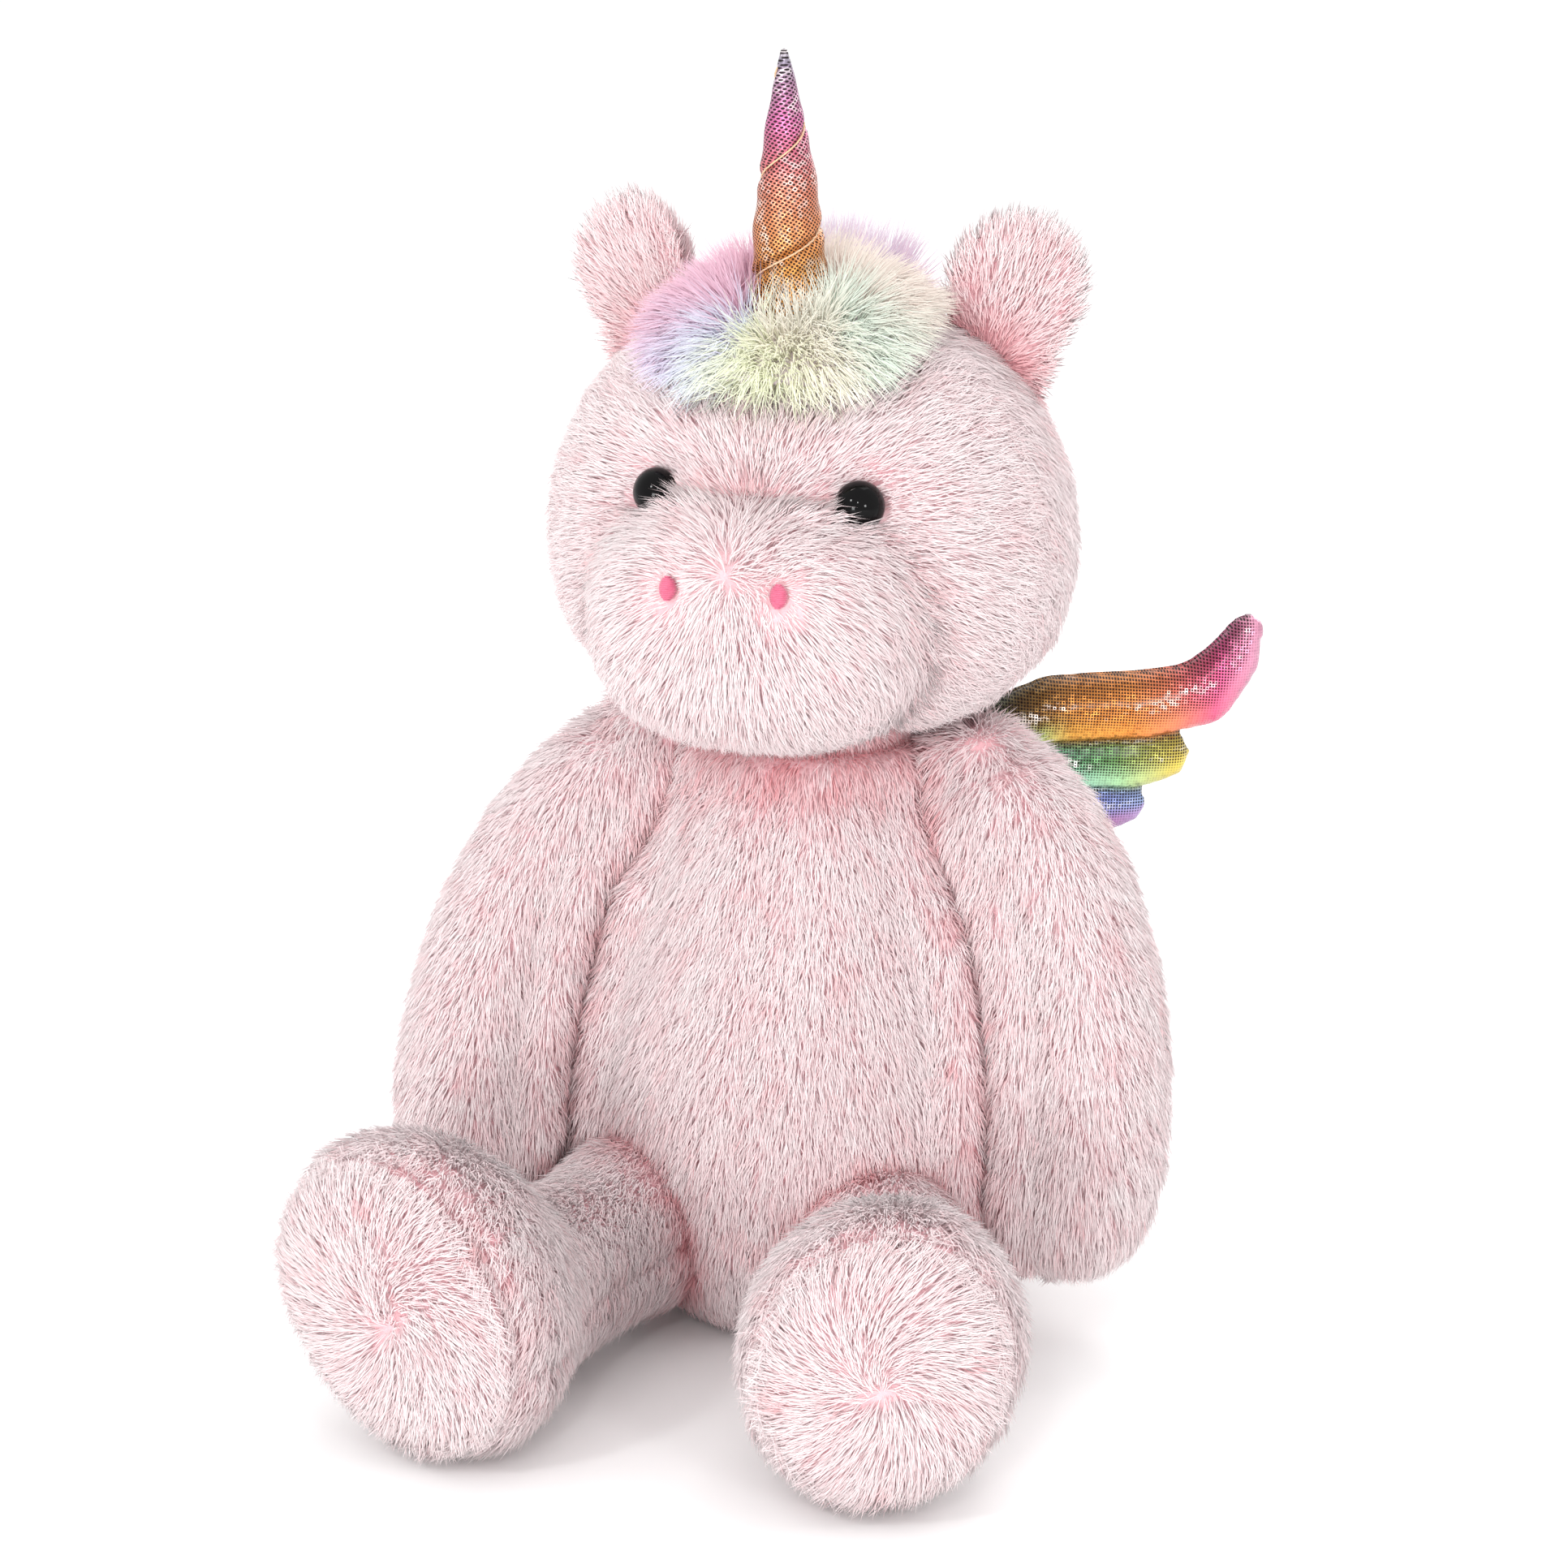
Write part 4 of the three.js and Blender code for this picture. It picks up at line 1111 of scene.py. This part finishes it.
def build_nostril(side):
    """A padded oval of satin stitches that lie side by side across it."""
    muzzle = SKINS["muzzle_stuffed"]
    place, ahead, _, _ = muzzle["tree"].find_nearest(NOSTRIL[side] + np.array([0, 4 * MM, 0]))
    ahead = unit(np.array(ahead) + np.array([0, -0.5, 0]))
    middle = np.array(place) + ahead * 2.0 * MM
    across = unit(np.cross(UP, ahead)) * -1
    up = np.cross(ahead, across) * -1
    paths = []
    for k in np.arange(-6, 7):
        v = k * STITCH / NOSTRIL_HIGH
        if abs(v) >= 0.97:
            continue
        half = NOSTRIL_WIDE * math.sqrt(1 - v * v)
        lift = 1.0 * MM * math.sqrt(1 - v * v)
        t = np.linspace(-1, 1, 11)[:, None]
        rise = lift * (1 - t * t) - 1.1 * MM * t**4
        paths.append(middle + up * v * NOSTRIL_HIGH + across * half * t + ahead * rise)
    oval = tubes(f"nostril_stitches_{side}", paths, STITCH * 0.58)
    oval.data.materials.append(THREAD)
    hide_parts(f"nostril_{side}")
    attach(oval, "head")


DOT_PITCH = 0.75 * MM
FLAKE_TILT = 0.5  # how unevenly the foil between the dots lies


def foil_material(name, turned=False):
    """Stretch fabric with a foil face that is broken by rows of small dark dots, and lightened between
    them by painted glints.
    """
    n = Nodes(name, Metallic=0.6, Coat_Weight=0.3, Coat_Roughness=0.2)
    cell = n.add("TexVoronoi", voronoi_dimensions="2D", feature="F1")
    cell.inputs["Scale"].default_value = MM / DOT_PITCH
    cell.inputs["Randomness"].default_value = 0
    n.link(n.mapped("cloth", 45 if turned else 4), cell.inputs["Vector"])
    tone_layer = n.add("Attribute", attribute_name="tone")
    tone = tone_layer.outputs["Color"]
    spot = n.ramp(cell.outputs["Distance"], [(0.3, 1.0), (0.4, 0.0)])
    dot = n.maths("MULTIPLY", spot, tone_layer.outputs["Alpha"])
    grain = n.add("TexWhiteNoise", noise_dimensions="2D")
    n.link(cell.outputs["Position"], grain.inputs["Vector"])
    # Painted glints: noise patches, scaled by the glint attribute, lighten the foil's colour towards near
    # white between the dots, in place of its reflections.
    streaks = n.noise(1, 2, n.mapped("cloth", -9, (0.05, 0.17, 1)))
    patches = n.ramp(streaks, [(0.42, 0.15), (0.58, 1.0)])
    glint_patches = n.maths("MULTIPLY", patches, n.add("Attribute", attribute_name="glint").outputs["Fac"])
    glint = n.maths("MULTIPLY", grain.outputs["Value"], glint_patches)
    bright = n.mix(0.55, n.mix(1.0, tone, "#c8c8c8", "ADD"), "#fff6ee")
    lit = n.mix(n.ramp(glint, [(0.4, 0.0), (0.85, 0.85)]), tone, bright)
    dark = n.mix(1.0, tone, "#4b3d40", "MULTIPLY")
    n.link(n.mix(dot, lit, dark), n.shader.inputs["Base Color"])
    n.link(n.ramp(dot, [(0.0, 0.3), (1.0, 0.85)]), n.shader.inputs["Roughness"])
    vectors = lambda operation, *values: n.maths(operation, *values, kind="VectorMath")
    tilt = vectors("MULTIPLY_ADD", grain.outputs["Color"], (FLAKE_TILT,) * 3, (-FLAKE_TILT / 2,) * 3)
    facing = vectors("NORMALIZE", vectors("ADD", n.add("NewGeometry").outputs["Normal"], tilt))
    n.link(facing, n.shader.inputs["Normal"])
    return n.material


def add_tone(obj, colours, glint):
    """The colour of a foil at each point, with the strength of its dots, and how strongly painted glints
    lighten it.
    """
    layer = obj.data.attributes.new("tone", "FLOAT_COLOR", "POINT")
    layer.data.foreach_set("color", np.asarray(colours, np.float32).ravel())
    layer = obj.data.attributes.new("glint", "FLOAT", "POINT")
    layer.data.foreach_set("value", np.asarray(glint, np.float32))


def ramp_colours(value, stops):
    """Colours along a row of (value, hex colour) stops, as linear numbers."""
    at = [s[0] for s in stops]
    table = np.array([linear(s[1]) for s in stops])
    return np.stack([np.interp(value, at, table[:, k]) for k in range(4)], 1)


def add_uv(obj, name, per_point):
    """A UV layer from one place on it for each point."""
    index = np.empty(len(obj.data.loops), np.int32)
    obj.data.loops.foreach_get("vertex_index", index)
    layer = obj.data.uv_layers.new(name=name)
    layer.data.foreach_set("uv", per_point[index].astype(np.float32).ravel())


HORN_RADIUS, HORN_TIP, HORN_TURNS, HORN_PHASE = 9.2 * MM, 0.7 * MM, 2.6, math.radians(69)
horn_tip = max(arrays(frame["nodes"]["horn_cover"])[0], key=lambda p: p[2])
HORN_AXIS = unit(horn_tip - HORN_FOOT)
HORN_LENGTH = np.linalg.norm(horn_tip - HORN_FOOT)
HORN_COLOURS = [
    (0.0, "#cc8f3a"), (0.2, "#d28e45"), (0.34, "#d88a58"), (0.5, "#d27c68"), (0.62, "#cb6a80"),
    (0.74, "#c7679a"), (0.86, "#a97898"), (0.95, "#8d8296"), (1.0, "#b9b2b6"),
]


def horn_surface(turn, height, out=0.0):
    """A point of the horn: a cone with puffed turns between the thread that winds up it."""
    cone = HORN_RADIUS + (HORN_TIP - HORN_RADIUS) * height**1.9
    phase = turn - 2 * np.pi * HORN_TURNS * height - HORN_PHASE
    groove = np.exp(-((np.sin(phase / 2) / 0.2) ** 2))
    pucker = 0.02 * np.sin(26 * turn + 40 * height) * np.exp(-((np.sin(phase / 2) / 0.4) ** 2))
    r = cone * (1.0 - 0.2 * groove + pucker + 0.035 * np.cos(2 * phase)) + out
    side, other = beside(HORN_AXIS, [0, -1, 0])
    return (
        HORN_FOOT + HORN_AXIS * (height * HORN_LENGTH)[..., None]
        + side * (r * np.cos(turn))[..., None] + other * (r * np.sin(turn))[..., None]
    )


def build_horn():
    """The foil horn, and the two-ply thread that winds up it."""
    around, up = 96, 150
    height, turn = np.meshgrid(np.linspace(0.0, 0.992, up), np.linspace(0, 2 * np.pi, around + 1))
    points = horn_surface(turn, height).transpose(1, 0, 2)[:, :-1].reshape(-1, 3)
    points = np.concatenate([points, [HORN_FOOT], [HORN_FOOT + HORN_AXIS * HORN_LENGTH]])
    horn = mesh_object("horn_foil", points, sleeve_faces(up, around))
    away = points - HORN_FOOT
    height = np.clip(away @ HORN_AXIS / HORN_LENGTH, 0, 1)
    # Painted glints all over the horn, at a strength of 0.8.
    add_tone(horn, ramp_colours(height, HORN_COLOURS), np.full(len(points), 0.8))
    turn = np.arctan2(away[:, 1], away[:, 0])
    slant = (1.02 - height) * HORN_LENGTH / MM
    open_angle = turn * HORN_RADIUS / HORN_LENGTH
    add_uv(horn, "cloth", np.stack([slant * np.cos(open_angle), slant * np.sin(open_angle)], 1))
    horn.data.materials.append(foil_material("horn_foil", turned=True))
    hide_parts("horn_cover", "horn_filling")
    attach(horn, "horn")
    rise = np.linspace(0.1, 0.93, 260)
    turn = 2 * np.pi * HORN_TURNS * rise + HORN_PHASE
    line = horn_surface(turn, rise, 0.28 * MM)
    ply = 900 * rise
    sideways = unit(np.cross(np.gradient(line, axis=0), line - HORN_FOOT))
    paths = [line + 0.16 * MM * np.cos(ply + k)[:, None] * sideways for k in (0, np.pi)]
    winding = tubes("horn_winding", paths, 0.2 * MM, 6)
    winding.data.materials.append(
        mottled("winding_thread", 900, "#d8a978", "#f0d3b4", Roughness=0.6, Sheen_Weight=0.3)
    )
    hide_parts("horn_thread")
    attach(winding, "horn")


# Colours along each feather, first at its upper and then at its lower edge: (mm out, colour).
FEATHER_COLOURS = [
    ([(8, "#333b38"), (16, "#4b4a33"), (24, "#8a652c"), (35, "#c27a2e"), (48, "#d58238"),
      (57, "#d8754e"), (64, "#cf5b68"), (72, "#cc5184"), (80, "#c98aa2")],
     [(8, "#3f6f72"), (18, "#6fb3ab"), (25, "#9db46c"), (33, "#d39a3c"), (48, "#e68f3a"),
      (60, "#e07d58"), (70, "#d4587c"), (80, "#cb8aa4")]),
    ([(8, "#35595f"), (20, "#4a8f9b"), (30, "#45805f"), (44, "#5c8948"), (60, "#b3a044")],
     [(8, "#6fa6c4"), (20, "#86b9cf"), (32, "#8fc7b4"), (46, "#9fcb96"), (60, "#cdb950")]),
    ([(8, "#5c3a68"), (24, "#66509a"), (38, "#6a70b8"), (52, "#8fa0cc")],
     [(8, "#9a4a80"), (24, "#b4518f"), (38, "#9c5a86"), (52, "#9a7fae")]),
    ([(5, "#7a3048"), (35, "#96465f")], [(5, "#7a3048"), (35, "#96465f")]),
]


def build_wing(side):
    """Colours a stuffed wing, with painted shade in the valleys and towards the upper edges of its
    feathers, a painted highlight across their lower middles and painted glints along them; the dots fade
    out where the foil is stretched round the lower edges.
    """
    obj = SKINS[f"wing_stuffed_{side}"]["obj"]
    co = arrays(obj)[0]
    out, up, _ = wing_plane(side, co)
    across = feather_reach(side, co)
    reach = np.abs(across)
    weight = np.exp((reach.min(0) - reach) / 0.12)
    weight /= weight.sum(0)
    high = smooth(across, -0.55, 0.25)
    tone = 0
    for w, h, (upper, lower) in zip(weight, high, FEATHER_COLOURS):
        top, bottom = ramp_colours(out / MM, upper), ramp_colours(out / MM, lower)
        tone = tone + w[:, None] * (bottom + (top - bottom) * h[:, None])
    # Painted shade and highlight: darker in the valleys between feathers and towards each feather's upper
    # edge, lighter across its lower middle.
    near = np.sort(reach, axis=0)
    valley = np.exp(-(((near[1] - near[0]) / 0.2) ** 2)) * (near[0] < 1.3)
    place = (weight * across).sum(0)
    shade = np.interp(place, [-1, -0.5, -0.1, 0.3, 0.75, 1], [1.0, 1.35, 1.35, 1.1, 0.75, 0.6])
    tone *= (shade * (1 - 0.6 * valley))[:, None]
    tone[:, 3] = 0.2 + 0.8 * smooth(place, -0.6, -0.1)
    # Painted glints in a band along the middle of each feather.
    add_tone(obj, np.minimum(tone, 1), 1.3 * np.exp(-(((place - 0.15) / 0.35) ** 2)))
    add_uv(obj, "cloth", np.stack([out / MM, up / MM], 1))
    obj.data.materials.clear()
    obj.data.materials.append(FOIL)


both(build_eye)
both(build_nostril)
build_horn()
FOIL = foil_material("wing_foil")
both(build_wing)


def build_label():
    """A folded satin ribbon, blank, sewn into the back seam."""
    low, high = (np.array(c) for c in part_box("care_label"))
    half, rows, columns = 0.3 * MM, 14, 12
    run = np.linspace(0, 1, rows)
    leaf = [(-half, low[1] + r * (high[1] - low[1] - half)) for r in run]
    turn = [(half * math.sin(a), high[1] - half + half * math.cos(a)) for a in (-1.0, -0.4, 0.4, 1.0)]
    path = np.array(leaf + turn + [(-x, y) for x, y in leaf[::-1]])
    outline = np.concatenate([path, path[::-1] * [0.45, 1] - [0, 0.12 * MM]])
    heights = np.linspace(low[2], high[2], columns)
    rings = []
    for z in heights:
        wave = 0.5 * MM * math.sin(260 * (z - low[2])) * (outline[:, 1] - low[1]) / (high[1] - low[1])
        rings.append(np.stack([outline[:, 0] + wave, outline[:, 1], np.full(len(outline), z)], 1))
    count = len(outline)
    j, i = np.divmod(np.arange((columns - 1) * count), count)
    a, b = j * count + i, j * count + (i + 1) % count
    i = np.arange(count // 2 - 1)
    cap = np.stack([i, i + 1, count - 2 - i, count - 1 - i], 1)
    faces = [np.stack([a, b, b + count, a + count], 1), cap[:, ::-1], cap + (columns - 1) * count]
    ribbon = mesh_object("care_ribbon", np.concatenate(rings), np.concatenate(faces)[:, ::-1])
    ribbon.data.materials.append(
        mottled(
            "label_satin", 400, "#f1f0ee", "#fbfbfa", (5000, 1, 0.2, 0.1 * MM), Roughness=0.35,
            Sheen_Weight=0.3,
        )
    )
    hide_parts("care_label")
    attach(ribbon, "torso")


build_label()

# ---- skins: looks, and what they stand for --------------------------------------------------
for name, skin in SKINS.items():
    obj = skin["obj"]
    if not name.startswith("wing"):
        obj.data.materials.clear()
        pale = name.startswith(("tail", "forelock", "mane"))
        obj.data.materials.append(PALE_BACKING if pale else BACKING)
    if skin["for"]:
        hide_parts(*skin["for"])
    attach(obj, skin["body"])

# ---- camera, light, floor -------------------------------------------------------------------
AZIMUTH, ELEVATION = math.radians(19), math.radians(15)
CAMERA_FAR = 1150 * MM
CAMERA_SIDEWAYS = -7.4 * MM
AIM = Vector((0, float(joint_at("neck_nod")[1]), 130 * MM))
level = Vector((math.sin(AZIMUTH), -math.cos(AZIMUTH), 0))
back = level * math.cos(ELEVATION) + Vector((0, 0, math.sin(ELEVATION)))
across = Vector((math.cos(AZIMUTH), math.sin(AZIMUTH), 0))
camera = bpy.data.objects.new("camera", bpy.data.cameras.new("camera"))
camera.data.lens = 107.2
camera.location = AIM + back * CAMERA_FAR + across * CAMERA_SIDEWAYS
camera.rotation_euler = (-back).to_track_quat("-Z", "Y").to_euler()
bpy.context.scene.collection.objects.link(camera)
bpy.context.scene.camera = camera
bpy.context.scene.view_settings.view_transform = "Standard"


def area_light(name, place, size, power):
    """A square soft light, aimed at the toy's middle."""
    data = bpy.data.lights.new(name, "AREA")
    data.shape, data.size, data.energy = "SQUARE", size, power
    light = bpy.data.objects.new(name, data)
    light.location = place
    light.rotation_euler = (AIM - Vector(place)).to_track_quat("-Z", "Y").to_euler()
    bpy.context.scene.collection.objects.link(light)


area_light("key", (-0.45, -1.15, 0.95), 0.17, 3.4)
area_light("fill", (1.0, -1.0, 0.45), 0.2, 3.6)
area_light("low", (-0.15, -1.5, 0.2), 0.3, 6)
area_light("spark", (0.3, -1.35, 0.85), 0.12, 2)
area_light("top", (0.1, 0.5, 1.4), 0.8, 4)
area_light("behind", (0.35, 1.4, 0.8), 0.8, 6)
world = bpy.data.worlds.new("studio")
bpy.context.scene.world = world
world.use_nodes = True
world.node_tree.nodes["Background"].inputs[0].default_value = (1, 1, 1, 1)
world.node_tree.nodes["Background"].inputs[1].default_value = 1.05

FLOOR_HALF, FLOOR_LEVEL = 60, -0.2 * MM
corners = [(-1, -1), (1, -1), (1, 1), (-1, 1)]
floor = mesh_object(
    "floor", np.array([[x * FLOOR_HALF, y * FLOOR_HALF, FLOOR_LEVEL] for x, y in corners]),
    np.array([[0, 1, 2, 3]]),
)
floor.data.materials.append(mottled("floor", 3, "#fbfbfb", "#ffffff", Roughness=0.9))
